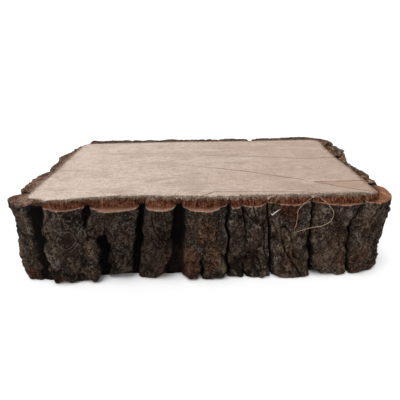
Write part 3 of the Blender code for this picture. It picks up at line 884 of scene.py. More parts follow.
def bark_strip(outline, name, begin, end, material):
    """One strip of bark: underside, face, rim ledge and torn step, closed at the wood."""
    start = outline.place(*begin) % outline.total
    length = (outline.place(*end) - start) % outline.total
    columns = start + np.linspace(0, length, int(length / COLUMN_STEP) + 1)
    drop = outline.bark_values(columns)[2]
    near_rim = np.full_like(columns, THICKNESS - RIM_SAMPLE)
    rim_out = bark_relief(outline, columns, np.ones_like(columns), near_rim)["out"]
    rim = rim_height(outline, columns, drop, rim_out)
    foot = foot_height(outline, columns)

    level = np.linspace(0, 1, WALL_ROWS)[:, None]
    wall_z = foot + (rim - foot) * level
    distance, levels = [np.broadcast_to(values, wall_z.shape) for values in (columns, level)]
    relief = bark_relief(outline, distance, levels, wall_z)
    wall_out = round_ends(relief.pop("out"), wall_z, foot, rim)

    tuck = TUCK + nibble(outline, columns)
    under_part = np.linspace(0, 1, UNDER_ROWS + 1)[:-1, None]
    under_out = -tuck + (wall_out[0] + tuck) * under_part
    under_z = UNDER_LIFT + (foot - UNDER_LIFT) * under_part ** 2

    ledge_part = row_parts(LEDGE_ROWS)
    run = np.maximum(torn_run(outline, columns, wall_out[-1]), LEAST_RUN - tuck)
    ledge_out = wall_out[-1] + (run - wall_out[-1]) * ledge_part
    ledge_z = ledge_height(outline, columns, ledge_out, ledge_part, rim, drop)

    step_part = row_parts(STEP_ROWS)
    step_out = run * (1 - step_part) - tuck * step_part
    step_out = step_out + fibre_grooves(outline, columns, step_part)
    step_z = ledge_z[-1] + (THICKNESS - STEP_GAP - ledge_z[-1]) * step_part ** 0.8

    points = np.concatenate([
        outline.at(columns, out, z)
        for out, z in ((under_out, under_z), (wall_out, wall_z),
                       (ledge_out, ledge_z), (step_out, step_z))])
    obj = strip_mesh(name, points)
    masks = strip_masks(relief, level, ledge_part, step_part)
    masks |= patch_masks(points, facing_share(outline, columns))
    masks["front"] = front_share(outline, columns)
    masks["broken"] = broken_share(outline, columns)
    masks["back"] = back_share(outline, columns)
    for key, values in masks.items():
        add_mask(obj, key, np.broadcast_to(values, points.shape[:2]))
    finish_piece(obj, material, "wood_slice")


def strip_mesh(name, points):
    """A strip's rows of points as a mesh, closed along the wood and at both ends."""
    rows, count = points.shape[:2]
    low = np.arange(count - 1)
    high = low + (rows - 1) * count
    closing = np.stack([high, high + 1, low + 1, low], axis=-1)
    quads = np.concatenate([grid_faces(rows, count), closing])
    first_cap = np.arange(rows) * count
    last_cap = (first_cap + count - 1)[::-1]
    obj = mesh_object(name, points.reshape(-1, 3), quads, (first_cap, last_cap))
    is_cap = np.zeros(rows * count, dtype=bool)
    is_cap[first_cap] = True
    is_cap[last_cap] = True
    mark_sharp(obj, is_cap)
    return obj


def strip_masks(relief, level, ledge_part, step_part):
    """What each point of a strip is made of, and where light and shade are painted on it, from
    the underside up to the torn step.
    """
    count = relief["furrow_shade"].shape[1]

    def stacked(*values):
        rows = (UNDER_ROWS, WALL_ROWS, LEDGE_ROWS, STEP_ROWS)
        return np.concatenate([np.broadcast_to(value, (number, count))
                               for value, number in zip(values, rows)])

    masks = {
        "lip": stacked(0.0, 0.0, ledge_part, 1.0),
        "ledge": stacked(0.35, ease_between(0.990, 1.0, level), 1.0, 0.0),
        "step": stacked(0.0, 0.0, ease_between(0.70, 1.0, ledge_part), 1.0),
        "climb": stacked(0.0, 0.0, 0.0, step_part),
    }
    for key, values in relief.items():
        top = values[-1] if key == "furrow_shade" else 0.0
        masks[key] = stacked(values[0], values, top, top * 0.5)
    return masks


def round_ends(out, z, foot, rim):
    """Wear the face back a little at the foot and under the rim."""
    near_foot = 1 - ease_between(0.0, 0.0030, z - foot)
    near_rim = 1 - ease_between(0.0, 0.0012, rim - z)
    return np.maximum(out - 0.0012 * near_foot - 0.0004 * near_rim, LEAST_BARK * 0.8)


def torn_run(outline, columns, rim_out):
    """How far the torn step reaches out from the wood."""
    wander = layered_noise(outline.at(columns, 0.0, 0.0), 0.010, 3, SEED + 24)
    return np.minimum(STEP_RUN * (1 + 0.40 * wander), rim_out * 0.55)


def ledge_height(outline, columns, out, part, rim, drop):
    """Height across the rim: dished where torn, flush where sawn, lumpy where broken."""
    points = outline.at(columns, out, 0.0)
    rough = layered_noise(points, 0.0036, 4, SEED + 25, 0.6)
    lumps, _ = creases(points, 0.0060, 3, SEED + 28)
    torn = ease_between(0.001, 0.004, drop)
    across = np.sin(np.pi * np.clip(part, 0, 1)) ** 0.5
    dished = 0.0014 * np.sin(np.pi * np.clip(part * 1.1, 0, 1)) * torn
    fall = 0.0006 + 0.0006 * torn
    broken = broken_share(outline, columns)
    crumbled = broken * (0.0036 * lumps + 0.0012 * rough - 0.0006)
    return rim - dished - fall * part + (0.00040 * rough + crumbled) * across


def fibre_grooves(outline, columns, part):
    """Upright grooves between the torn fibres of the step."""
    edge = outline.at(columns, 0.0, 0.0)
    coarse = smooth_noise(edge, 0.0031, SEED + 26)
    fine = smooth_noise(edge, 0.0011, SEED + 27)
    return (0.00050 * coarse + 0.00022 * fine) * np.sin(np.pi * np.clip(part, 0, 1)) ** 0.7


def back_share(outline, distance):
    """One on the back, where the bark's top is dark."""
    along, length = outline.stretch(distance, *BACK)
    return (along < length).astype(float)


def front_share(outline, distance):
    """One along the front, nought elsewhere."""
    along, length = outline.stretch(distance, *FRONT)
    return ease_between(0.0, 0.004, along) * (1 - ease_between(length, length + 0.004, along))


def facing_share(outline, distance):
    """One along the front and round its left corner, where the patches are."""
    along, length = outline.stretch(distance, *FACING)
    return (along < length).astype(float)


# ---------------------------------------------------------------- sawn wood

def wood_grid(outline):
    """Rings scaled from the outline towards the middle, as a rectangular grid."""
    u, v = np.meshgrid(np.linspace(-1, 1, 2 * WOOD_HALF_ACROSS + 1),
                       np.linspace(-1, 1, 2 * WOOD_HALF_UP + 1))
    reach = np.maximum(np.maximum(np.abs(u), np.abs(v)), 1e-9)
    side_u = u / reach
    side_v = v / reach
    half_arcs = [side["arc"] / 2 for side in outline.sides]
    distance = np.zeros(u.shape)
    runs = (
        (side_v <= -1 + 1e-9, (side_u + 1) / 2),
        (side_u >= 1 - 1e-9, (side_v + 1) / 2),
        (side_v >= 1 - 1e-9, (1 - side_u) / 2),
        (side_u <= -1 + 1e-9, (1 - side_v) / 2),
    )
    for index in (3, 2, 1, 0):
        side = outline.sides[index]
        chosen, part = runs[index]
        begin = side["start"] - half_arcs[index - 1]
        span = side["length"] + half_arcs[index - 1] + half_arcs[index]
        distance = np.where(chosen, begin + span * part, distance)
    edge, outward = outline.edge(distance)
    frayed = nibble(outline, distance) * np.clip((reach - 0.8) / 0.2, 0, 1)
    middle = outline.shift
    flat = middle + (edge - middle) * reach[..., None] - outward * frayed[..., None]
    inset = (1 - reach) * np.linalg.norm(edge - middle, axis=-1)
    return flat, inset, distance


def line_mask(flat):
    """Checks in the wood, painted dark as the shade inside them, and dark streaks left by the
    saw.
    """
    mask = np.zeros(flat.shape[:-1])
    wander = 0.0005 * layered_noise(with_z(flat), 0.006, 3, SEED + 50)
    moved = flat + wander[..., None]
    for strength, half_width, points in TOP_LINES:
        for begin, end in zip(points, points[1:]):
            begin = np.array(begin)
            end = np.array(end)
            along = end - begin
            part = np.clip(((moved - begin) @ along) / (along @ along), 0, 1)
            gap = np.linalg.norm(moved - (begin + part[..., None] * along), axis=-1)
            mask = np.maximum(mask, strength * np.exp(-(gap / half_width) ** 2))
    return mask


def wedge_mask(flat):
    """The redder wood between the two branches of the forked check."""
    inside = np.ones(flat.shape[:-1])
    corners = np.array(WEDGE)
    for index in range(3):
        begin = corners[index]
        along = corners[(index + 1) % 3] - begin
        across = np.array((along[1], -along[0])) / np.linalg.norm(along)
        inside = np.minimum(inside, ease_between(-0.0016, 0.0016, (flat - begin) @ across))
    return inside


def with_z(flat, z=0.0):
    """Flat points at one height."""
    return np.concatenate([flat, np.full(flat.shape[:-1] + (1,), z)], axis=-1)


def top_height(flat, inset, lines):
    """Height of the sawn top: saw marks, sunken checks and a frayed edge."""
    marks = layered_noise(with_z(flat) * np.array((0.05, 1.0, 1.0)), 0.0026, 2, SEED + 51)
    rough = layered_noise(with_z(flat), 0.0016, 2, SEED + 52)
    calm = ease_between(0.0, FRAY_WIDTH / 2, inset)
    marked = (MARK_HEIGHT * marks + ROUGH_HEIGHT * rough) * calm
    fray = ease_between(-0.2, 0.6, layered_noise(with_z(flat), 0.0012, 2, SEED + 53))
    frayed = (1 - ease_between(0.0, FRAY_WIDTH, inset)) * fray
    return THICKNESS - TOP_GAP + marked - CHECK_DEPTH * lines - FRAY_DEPTH * frayed


def sawn_wood(outline, material):
    """The block of wood: sawn top, sawn underside, and sides hidden by the bark."""
    flat, inset, distance = wood_grid(outline)
    middle = outline.shift
    lines = line_mask(flat - middle)
    rows, columns = flat.shape[:2]
    base = rows * columns
    top = np.concatenate([flat, top_height(flat, inset, lines)[..., None]], axis=-1)

    row, column = border_loop(rows, columns)
    border = flat[row, column]
    count = len(border)
    rings = [with_z(border, THICKNESS * 0.5), with_z(border, UNDER_Z)]
    rings += [with_z(middle + (border - middle) * scale, UNDER_Z) for scale in UNDER_RINGS]
    points = np.concatenate([top.reshape(-1, 3), *rings])
    loops = [row * columns + column]
    loops += [base + index * count + np.arange(count) for index in range(len(rings))]
    quads = [grid_faces(rows, columns)]
    for upper, lower in zip(loops, loops[1:]):
        quads.append(np.stack([upper, lower, np.roll(lower, -1), np.roll(upper, -1)], axis=-1))
    obj = mesh_object("sawn_wood", points, np.concatenate(quads), (loops[-1][::-1],))
    is_edge = np.zeros(len(points), dtype=bool)
    is_edge[loops[0]] = True
    is_edge[loops[2]] = True
    mark_sharp(obj, is_edge)

    masks = {
        "line": (lines, 0.0),
        "inset": (inset, 1.0),
        "front": (front_edge_share(outline, distance), 0.0),
        "wedge": (wedge_mask(flat - middle), 0.0),
    }
    for key, (values, below) in masks.items():
        rest = np.full(len(points) - base, below)
        add_mask(obj, key, np.concatenate([values.ravel(), rest]))
    finish_piece(obj, material, "wood_slice")


def border_loop(rows, columns):
    """Row and column numbers round a grid's border, anticlockwise."""
    across = np.arange(columns)
    up = np.arange(rows)
    row = np.concatenate([up[:1].repeat(columns - 1), up[:-1],
                          up[-1:].repeat(columns - 1), up[:0:-1]])
    column = np.concatenate([across[:-1], across[-1:].repeat(rows - 1),
                             across[:0:-1], across[:1].repeat(rows - 1)])
    return row, column


def front_edge_share(outline, distance):
    """One where the wood's nearest edge is the front one."""
    side = outline.sides[0]
    along = distance % outline.total
    return ((along < side["length"] + side["arc"] / 2)
            | (along > outline.total - outline.sides[3]["arc"] / 2)).astype(float)


# ---------------------------------------------------------------- fibres

def smooth_route(points, steps):
    """Catmull-Rom curve through the points."""
    points = np.array(points)
    padded = np.concatenate([points[:1], points, points[-1:]])
    t = np.linspace(0, 1, steps, endpoint=False)[:, None]
    route = []
    for index in range(len(points) - 1):
        before, start, end, after = padded[index:index + 4]
        route.append(0.5 * (
            2 * start + (end - before) * t
            + (2 * before - 5 * start + 4 * end - after) * t ** 2
            + (3 * start - before - 3 * end + after) * t ** 3))
    return np.concatenate(route + [points[-1:]])


def tube_points(route, radii, sides):
    """Rings of points round a route."""
    forward = np.gradient(route, axis=0)
    forward /= np.linalg.norm(forward, axis=1)[:, None]
    hint = np.where(np.abs(forward[:, 2:3]) > 0.9, (1.0, 0.0, 0.0), (0.0, 0.0, 1.0))
    across = np.cross(forward, hint)
    across /= np.linalg.norm(across, axis=1)[:, None]
    up = np.cross(across, forward)
    angle = np.linspace(0, 2 * np.pi, sides, endpoint=False)
    ring = (across[:, None] * np.cos(angle)[None, :, None]
            + up[:, None] * np.sin(angle)[None, :, None])
    return route[:, None] + ring * radii[:, None, None]


def tube_faces(rings, sides, base=0):
    """Faces between the rings of a tube."""
    ring, side = np.meshgrid(np.arange(rings - 1), np.arange(sides), indexing="ij")
    here = base + ring * sides + side
    beside = base + ring * sides + (side + 1) % sides
    return np.stack([here, here + sides, beside + sides, beside], axis=-1).reshape(-1, 4)


def tube_caps(rings, sides, base=0):
    """The flat faces at a tube's two ends."""
    first = base + np.arange(sides)
    return first, first[::-1] + (rings - 1) * sides


def strand(name, route, radii, sides, material, node):
    """One loose strand as a closed tube."""
    points = tube_points(route, radii, sides).reshape(-1, 3)
    rings = len(route)
    obj = mesh_object(name, points, tube_faces(rings, sides), tube_caps(rings, sides))
    finish_piece(obj, material, node)


def loose_fibre(outline, material):
    """The long fibre: a tail on the wood, then a loop over the bark."""
    moved = [(x + outline.shift[0], y + outline.shift[1], z)
             for x, y, z in FIBRE_TAIL + FIBRE_ROUTE]
    route = smooth_route(moved, 10)
    kink = np.stack([line_noise(np.arange(len(route)) * 1.0, 9.0, SEED + 60 + axis)
                     for axis in range(3)], axis=-1)
    route = route + kink * np.array((0.0006, 0.0001, 0.0005))
    part = np.linspace(0, 1, len(route))
    radii = FIBRE_RADIUS * (0.35 + 0.65 * np.sin(np.pi * np.clip(part, 0.02, 0.98)) ** 0.35)
    corner = np.array(FIBRE_ROUTE[FIBRE_CORNER]) + np.array((*outline.shift, 0.0))
    gap = np.linalg.norm(route - corner, axis=1)
    radii = radii * (1 - 0.75 * np.exp(-(gap / 0.0035) ** 2))
    strand("loose_fibre_strand", route, radii, 8, material, "loose_fibre")


def splinter(outline, material):
    """The small splinter: a bowed chip with a hook at its lower end."""
    begin, end = [np.array(point) + np.array((*outline.shift, 0.0)) for point in SPLINTER_ENDS]
    part = np.linspace(0, 1, 9)[:, None]
    route = begin + (end - begin) * part
    route[:, 2] += 0.0004 * np.sin(np.pi * part[:, 0])
    hook = begin + np.array(SPLINTER_HOOK) * np.linspace(1, 0, 4, endpoint=False)[:, None]
    route = np.concatenate([hook, route])
    part = np.linspace(0, 1, len(route))
    radii = SPLINTER_RADIUS * (0.25 + 0.75 * np.sin(np.pi * np.clip(part, 0.06, 0.9)))
    strand("splinter_chip", route, radii, 6, material, "splinter")


def torn_edge(outline, material):
    """Short fibres that the saw left standing off the wood's edge."""
    rng = np.random.default_rng(SEED)
    begin = outline.place("front", -0.130)
    span = outline.place("right", -0.050) - begin
    distance = begin + span * rng.random(TORN_COUNT)
    length = 0.0006 + 0.0024 * rng.random(TORN_COUNT) ** 3.0
    slant = rng.normal(0.0, 0.0007, TORN_COUNT)
    sink = rng.random(TORN_COUNT)
    radius = 0.00005 + 0.00006 * rng.random(TORN_COUNT)
    start = -nibble(outline, distance) - 0.0003
    points = []
    quads = []
    caps = []
    part = np.linspace(0, 1, TORN_RINGS)
    for index in range(TORN_COUNT):
        out = start[index] + (length[index] * (0.35 + 0.65 * sink[index]) - start[index]) * part
        fall = length[index] * (1.15 - sink[index]) * part ** 1.6
        along = distance[index] + slant[index] * part
        route = outline.at(along, out, THICKNESS - STEP_GAP - fall)
        radii = radius[index] * (1.05 - part)
        base = len(points) * TORN_SIDES * TORN_RINGS
        points.append(tube_points(route, radii, TORN_SIDES).reshape(-1, 3))
        quads.append(tube_faces(TORN_RINGS, TORN_SIDES, base))
        caps += tube_caps(TORN_RINGS, TORN_SIDES, base)
    obj = mesh_object("torn_edge_fibres", np.concatenate(points), np.concatenate(quads), caps)
    finish_piece(obj, material, "wood_slice")


# ---------------------------------------------------------------- materials

class Shader:
    """A node material with short names for the nodes it is built from."""

    def __init__(self, name, roughness, specular):
        self.material = bpy.data.materials.new(name)
        self.material.use_nodes = True
        self.tree = self.material.node_tree
        self.surface = self.tree.nodes["Principled BSDF"]
        self.surface.inputs["Roughness"].default_value = roughness
        self.surface.inputs["Specular IOR Level"].default_value = specular
        self.place = self.tree.nodes.new("ShaderNodeTexCoord").outputs["Object"]

    def wire(self, value, socket):
        """Join two sockets, or give one a colour or a number."""
        if isinstance(value, bpy.types.NodeSocket):
            self.tree.links.new(value, socket)
        elif isinstance(value, tuple):
            socket.default_value = (*value, 1.0)
        else:
            socket.default_value = value

    def stretched(self, scale, turn=0.0):
        """Places for a noise, scaled along each axis after a turn."""
        node = self.tree.nodes.new("ShaderNodeMapping")
        node.inputs["Rotation"].default_value = (0.0, 0.0, math.radians(turn))
        self.wire(self.place, node.inputs["Vector"])
        node.inputs["Scale"].default_value = scale
        return node.outputs["Vector"]

    def noise(self, scale, detail, roughness, place=None, distortion=0.0):
        """Noise from 0 to 1."""
        node = self.tree.nodes.new("ShaderNodeTexNoise")
        self.wire(place or self.place, node.inputs["Vector"])
        node.inputs["Scale"].default_value = scale
        node.inputs["Detail"].default_value = detail
        node.inputs["Roughness"].default_value = roughness
        node.inputs["Distortion"].default_value = distortion
        return node.outputs["Fac"]

    def mask(self, name):
        """A value that the mesh holds for each point."""
        node = self.tree.nodes.new("ShaderNodeAttribute")
        node.attribute_name = name
        return node.outputs["Fac"]

    def math(self, operation, first, second):
        """Two values added, subtracted or multiplied."""
        node = self.tree.nodes.new("ShaderNodeMath")
        node.operation = operation
        self.wire(first, node.inputs[0])
        self.wire(second, node.inputs[1])
        return node.outputs[0]

    def times(self, first, second):
        return self.math("MULTIPLY", first, second)

    def plus(self, first, second):
        return self.math("ADD", first, second)

    def minus(self, first, second):
        return self.math("SUBTRACT", first, second)

    def blend(self, first, share, second):
        """The first value for its share, and the second for the rest."""
        return self.plus(self.times(first, share), self.times(second, round(1 - share, 6)))

    def between(self, value, low, high, to_low=0.0, to_high=1.0):
        """Smooth step from one value to another as the given one goes from low to high."""
        node = self.tree.nodes.new("ShaderNodeMapRange")
        node.interpolation_type = "SMOOTHSTEP"
        self.wire(value, node.inputs["Value"])
        node.inputs["From Min"].default_value = low
        node.inputs["From Max"].default_value = high
        node.inputs["To Min"].default_value = to_low
        node.inputs["To Max"].default_value = to_high
        return node.outputs["Result"]

    def ramp(self, value, *stops):
        """A colour from stops along the value."""
        node = self.tree.nodes.new("ShaderNodeValToRGB")
        self.wire(value, node.inputs["Fac"])
        elements = node.color_ramp.elements
        while len(elements) < len(stops):
            elements.new(0.5)
        for element, (position, colour) in zip(elements, stops):
            element.position = position
            element.color = (*colour, 1.0)
        return node.outputs["Color"]

    def mix(self, share, first, second):
        """The first colour, with a share of the second laid over it."""
        node = self.tree.nodes.new("ShaderNodeMix")
        node.data_type = "RGBA"
        self.wire(share, node.inputs[0])
        self.wire(first, node.inputs[6])
        self.wire(second, node.inputs[7])
        return node.outputs[2]

    def finish(self, colour, height, bump):
        """The material with its colour and its fine bumps."""
        self.wire(colour, self.surface.inputs["Base Color"])
        node = self.tree.nodes.new("ShaderNodeBump")
        node.inputs["Strength"].default_value = 1.0
        node.inputs["Distance"].default_value = bump
        self.wire(height, node.inputs["Height"])
        self.wire(node.outputs["Normal"], self.surface.inputs["Normal"])
        return self.material


def bark_material():
    """Grey-brown corky bark with red flakes and a pale torn rim; its furrows and cracks are
    painted near-black as shade, and its relief and knot rings have painted highlight and shade.
    """
    s = Shader("bark", 0.95, 0.04)
    broad = s.noise(70, 3, 0.6)
    middle = s.noise(330, 4, 0.62, s.stretched((1.0, 1.0, 0.75)), 1.4)
    fine = s.noise(900, 2, 0.65, None, 0.6)
    # Painted highlight and shade: higher relief lighter, lower relief darker
    ridge_light_and_shade = s.times(s.minus(s.mask("high"), 0.5), 0.16)
    zones = s.minus(s.noise(105, 4, 0.6, s.stretched((1.0, 1.0, 0.55)), 0.8), 0.5)
    rough = s.between(s.noise(160, 2, 0.5), 0.36, 0.62, 0.75, 1.75)
    texture = s.blend(middle, 0.62, fine)
    lively = s.plus(0.78, s.times(s.mask("shade"), 1.20))
    texture = s.times(s.minus(texture, 0.5), s.times(rough, lively))
    grain = s.plus(s.plus(texture, 0.495), ridge_light_and_shade)
    grain = s.plus(grain, s.times(zones, 0.34))
    cork = s.ramp(grain,
                  (0.38, (0.0100, 0.0072, 0.0056)),
                  (0.47, (0.0260, 0.0195, 0.0147)),
                  (0.55, (0.0540, 0.0430, 0.0335)),
                  (0.66, (0.1750, 0.1500, 0.1260)))
    brown = s.ramp(grain,
                   (0.38, (0.0095, 0.0056, 0.0038)),
                   (0.50, (0.0370, 0.0235, 0.0155)),
                   (0.65, (0.1250, 0.0910, 0.0650)))
    share = s.blend(broad, 0.7, s.mask("dice"))
    colour = s.mix(s.between(share, 0.40, 0.62), cork, brown)
    colour = s.mix(s.mask("shade"), colour, (0.0080, 0.0060, 0.0048))
    # Painted highlight on the knot's ring crests, painted shade in its troughs and sunken eye
    ring_crest_highlight = s.between(s.mask("ring"), 0.56, 0.88, 0.0, 0.75)
    colour = s.mix(ring_crest_highlight, colour, (0.1050, 0.0850, 0.0720))
    ring_trough_shade = s.between(s.mask("ring"), 0.45, 0.08, 0.0, 0.85)
    colour = s.mix(ring_trough_shade, colour, (0.0190, 0.0095, 0.0085))
    for kind, strength, stops in FLAKES:
        colour = s.mix(s.times(s.mask(kind), strength), colour, s.ramp(grain, *stops))
    # Painted shade in the cracks and creases
    shaded_crack = s.times(s.mask("shaded_crack"), 0.88)
    colour = s.mix(shaded_crack, colour, (0.0060, 0.0042, 0.0034))
    # Painted shade: the deep furrows go near-black, a little less where the bark is red
    reddened = s.times(s.mask("red"), 0.35)
    furrow_shade = s.times(s.mask("furrow_shade"), s.minus(0.97, reddened))
    colour = s.mix(furrow_shade, colour, (0.0030, 0.0023, 0.0024))
    colour = s.mix(s.mask("ledge"), colour, ledge_colour(s, grain))
    colour = s.mix(s.mask("step"), colour, step_colour(s, grain))
    height = s.blend(middle, 0.6, fine)
    return s.finish(colour, height, 0.0013)


def ledge_colour(s, grain):
    """Top of the bark: a pale lip and a red-brown dip at the front, duller elsewhere, with
    painted shade where furrows and cracks cross it.
    """
    spread = s.minus(grain, 0.5)
    lip = s.plus(s.mask("lip"), s.times(spread, 1.2))
    pale = s.ramp(grain, (0.40, (0.250, 0.135, 0.092)), (0.50, (0.430, 0.262, 0.190)),
                  (0.60, (0.560, 0.390, 0.300)))
    deep = s.ramp(grain, (0.40, (0.060, 0.021, 0.012)), (0.50, (0.150, 0.062, 0.034)),
                  (0.60, (0.250, 0.125, 0.076)))
    torn = s.mix(s.between(lip, 0.25, 0.82), pale, deep)
    orange = s.ramp(grain, (0.40, (0.160, 0.060, 0.026)), (0.50, (0.400, 0.170, 0.080)),
                    (0.60, (0.540, 0.290, 0.160)))
    torn = s.mix(s.times(s.mask("pocket"), 0.60), torn, orange)
    sawn = s.ramp(grain, (0.38, (0.060, 0.031, 0.021)), (0.50, (0.205, 0.118, 0.084)),
                  (0.62, (0.370, 0.245, 0.188)))
    rough = s.ramp(grain, (0.40, (0.052, 0.032, 0.022)), (0.50, (0.215, 0.150, 0.105)),
                   (0.60, (0.400, 0.300, 0.222)))
    strip = s.ramp(grain, (0.42, (0.070, 0.031, 0.017)), (0.50, (0.300, 0.158, 0.084)),
                   (0.60, (0.480, 0.310, 0.190)))
    rough = s.mix(s.between(lip, 0.38, 0.62), rough, strip)
    dark = s.ramp(grain, (0.38, (0.040, 0.025, 0.018)), (0.50, (0.120, 0.082, 0.060)),
                  (0.62, (0.230, 0.172, 0.130)))
    colour = s.mix(s.mask("broken"), sawn, rough)
    colour = s.mix(s.mask("back"), colour, dark)
    colour = s.mix(s.mask("front"), colour, torn)
    # Painted shade where furrows and cracks cross the rim
    colour = s.mix(s.times(s.mask("furrow_shade"), 0.90), colour, (0.008, 0.005, 0.004))
    return s.mix(s.times(s.mask("shaded_crack"), 0.75), colour, (0.014, 0.008, 0.006))


def step_colour(s, grain):
    """Torn inner bark: deep red-brown below, grey-brown fuzz under the wood's edge, and painted
    shade where furrows cross it.
    """
    upright = s.noise(620, 3, 0.7, s.stretched((1.0, 1.0, 0.16)))
    tone = s.blend(upright, 0.6, grain)
    red = s.ramp(tone, (0.38, (0.022, 0.0075, 0.0045)), (0.50, (0.110, 0.0400, 0.0200)),
                 (0.62, (0.230, 0.1080, 0.0600)))
    fuzz = s.ramp(tone, (0.38, (0.050, 0.034, 0.024)), (0.50, (0.170, 0.122, 0.088)),
                  (0.62, (0.330, 0.260, 0.200)))
    spread = s.minus(grain, 0.5)
    climb = s.plus(s.mask("climb"), s.times(spread, 1.2))
    colour = s.mix(s.between(climb, 0.35, 0.75), red, fuzz)
    plain = s.ramp(tone, (0.38, (0.080, 0.045, 0.032)), (0.50, (0.230, 0.145, 0.106)),
                   (0.62, (0.380, 0.270, 0.210)))
    tan = s.ramp(tone, (0.40, (0.060, 0.030, 0.018)), (0.50, (0.240, 0.132, 0.076)),
                 (0.62, (0.400, 0.270, 0.175)))
    dull = s.mix(s.mask("broken"), plain, tan)
    colour = s.mix(s.mask("front"), dull, colour)
    # Painted shade where furrows cross the torn step
    return s.mix(s.times(s.mask("furrow_shade"), 0.60), colour, (0.012, 0.007, 0.005))


def wood_material():
    """Pale pinkish sawn wood with saw marks, checks and a frayed edge."""
    s = Shader("sawn_wood", 0.75, 0.2)
    split = s.tree.nodes.new("ShaderNodeSeparateXYZ")
    s.wire(s.place, split.inputs[0])
    across = s.between(split.outputs["X"], -0.15, 0.15)
    colour = s.mix(across, LEFT_WOOD, RIGHT_WOOD)
    blotch = s.noise(60, 4, 0.65, s.stretched((0.55, 1.0, 1.0)))
    colour = s.mix(s.between(blotch, 0.42, 0.64, 0.0, 0.36), colour, (0.330, 0.238, 0.185))
    bright = s.noise(95, 3, 0.6, s.stretched((0.45, 1.0, 1.0), 8.0))
    colour = s.mix(s.between(bright, 0.50, 0.68, 0.0, 0.25), colour, (0.650, 0.550, 0.480))
    bands = s.noise(150, 2, 0.6, s.stretched((0.07, 1.0, 1.0)), 0.5)
    colour = s.mix(s.between(bands, 0.50, 0.66, 0.0, 0.16), colour, (0.290, 0.225, 0.180))
    colour = s.mix(s.times(s.mask("wedge"), 0.50), colour, (0.345, 0.215, 0.150))
    streaks = s.noise(520, 3, 0.75, s.stretched((0.30, 1.0, 1.0)))
    colour = s.mix(s.between(streaks, 0.46, 0.62, 0.0, 0.34), colour, (0.270, 0.185, 0.135))
    slant = s.noise(420, 2, 0.6, s.stretched((0.14, 1.0, 1.0), -38.0))
    gate = s.between(s.noise(26, 2, 0.5), 0.48, 0.60)
    hatch = s.times(s.between(slant, 0.48, 0.62, 0.0, 0.38), gate)
    colour = s.mix(hatch, colour, (0.270, 0.200, 0.155))
    fine = s.noise(760, 3, 0.78)
    colour = s.mix(s.between(fine, 0.48, 0.62, 0.0, 0.42), colour, (0.230, 0.155, 0.110))
    specks = s.between(s.noise(420, 2, 0.6, s.stretched((0.6, 1.0, 1.0))), 0.62, 0.70, 0.0, 0.75)
    near = s.times(s.between(s.mask("inset"), 0.001, 0.014, 1.0, 0.0), s.mask("front"))
    colour = s.mix(s.times(specks, near), colour, (0.150, 0.092, 0.060))
    # Painted shade: the checks are darkened by colour as the shade inside them; the streaks are
    # the wood's own colour
    colour = s.mix(s.mask("line"), colour, (0.085, 0.050, 0.033))
    loose = s.times(s.minus(s.noise(600, 3, 0.7), 0.5), 0.016)
    ragged = s.plus(s.mask("inset"), loose)
    fray = s.between(ragged, 0.0004, 0.0034, 0.92, 0.0)
    fray = s.times(fray, s.between(s.mask("front"), 0.0, 1.0, 0.70, 1.0))
    colour = s.mix(fray, colour, (0.094, 0.054, 0.033))
    height = s.blend(streaks, 0.6, fine)
    return s.finish(colour, height, 0.0005)


def fibre_material(name, dark, light):
    """Dry fibre, from a dark tone to a light one."""
    s = Shader(name, 0.6, 0.35)
    tone = s.noise(260, 3, 0.6)
    return s.finish(s.ramp(tone, (0.35, dark), (0.65, light)), tone, 0.0001)


# ---------------------------------------------------------------- stage

def look_along(heading, down):
    """Rotation of a camera or lamp that looks along a heading (from +Y) and down."""
    return (math.pi / 2 - down, 0.0, -heading)


def add_camera():
    """The camera stands in front of the slice and looks down on it."""
    camera = bpy.data.objects.new("camera", bpy.data.cameras.new("camera"))
    camera.data.lens = CAMERA_LENS
    camera.data.sensor_width = 36.0
    camera.data.clip_start = 0.01
    camera.location = CAMERA_PLACE
    camera.rotation_euler = look_along(CAMERA_HEADING, CAMERA_DOWN)
    bpy.context.scene.collection.objects.link(camera)
    bpy.context.scene.camera = camera


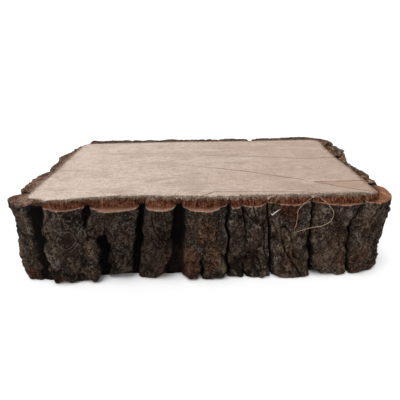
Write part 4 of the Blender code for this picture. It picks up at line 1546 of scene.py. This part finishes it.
def add_floor():
    """A pale floor that curves up into a round backdrop."""
    material = bpy.data.materials.new("floor")
    material.use_nodes = True
    shader = material.node_tree.nodes["Principled BSDF"]
    shader.inputs["Base Color"].default_value = FLOOR_COLOUR
    shader.inputs["Roughness"].default_value = 0.9
    shader.inputs["Specular IOR Level"].default_value = 0.0
    points = []
    for step in range(PROFILE_STEPS + 1):
        part = step / PROFILE_STEPS
        radius = FLAT_RADIUS + (WALL_RADIUS - FLAT_RADIUS) * part
        z = WALL_HEIGHT * part ** 3 - FLOOR_GAP
        for side in range(FLOOR_SIDES):
            turn = 2 * math.pi * side / FLOOR_SIDES
            points.append((radius * math.cos(turn), radius * math.sin(turn), z))
    quads = tube_faces(PROFILE_STEPS + 1, FLOOR_SIDES)
    floor = mesh_object("floor", np.array(points), quads, (np.arange(FLOOR_SIDES),))
    floor.data.materials.append(material)


def add_lights():
    """A soft white sky and a broad sun from above."""
    world = bpy.data.worlds.new("studio")
    world.use_nodes = True
    background = world.node_tree.nodes["Background"]
    background.inputs["Color"].default_value = (1.0, 1.0, 1.0, 1.0)
    background.inputs["Strength"].default_value = SKY_STRENGTH
    bpy.context.scene.world = world
    sun = bpy.data.lights.new("key", "SUN")
    sun.energy = SUN_STRENGTH
    sun.angle = SUN_WIDTH
    key = bpy.data.objects.new("key", sun)
    key.rotation_euler = SUN_TURN
    bpy.context.scene.collection.objects.link(key)


def set_stage():
    """Floor, light and camera."""
    bpy.context.scene.view_settings.view_transform = "Standard"
    add_floor()
    add_lights()
    add_camera()


def build():
    """Every piece of the wood slice, and the stage round it."""
    outline = centred_outline()
    bark = bark_material()
    for name, begin, end in STRIPS:
        bark_strip(outline, name, begin, end, bark)
    sawn_wood(outline, wood_material())
    torn_edge(outline, fibre_material("torn_fibre", (0.10, 0.065, 0.042), (0.34, 0.25, 0.175)))
    loose_fibre(outline, fibre_material("straw_fibre", (0.28, 0.19, 0.12), (0.52, 0.39, 0.27)))
    splinter(outline, fibre_material("pale_splinter", (0.50, 0.46, 0.40), (0.80, 0.77, 0.70)))
    set_stage()


build()
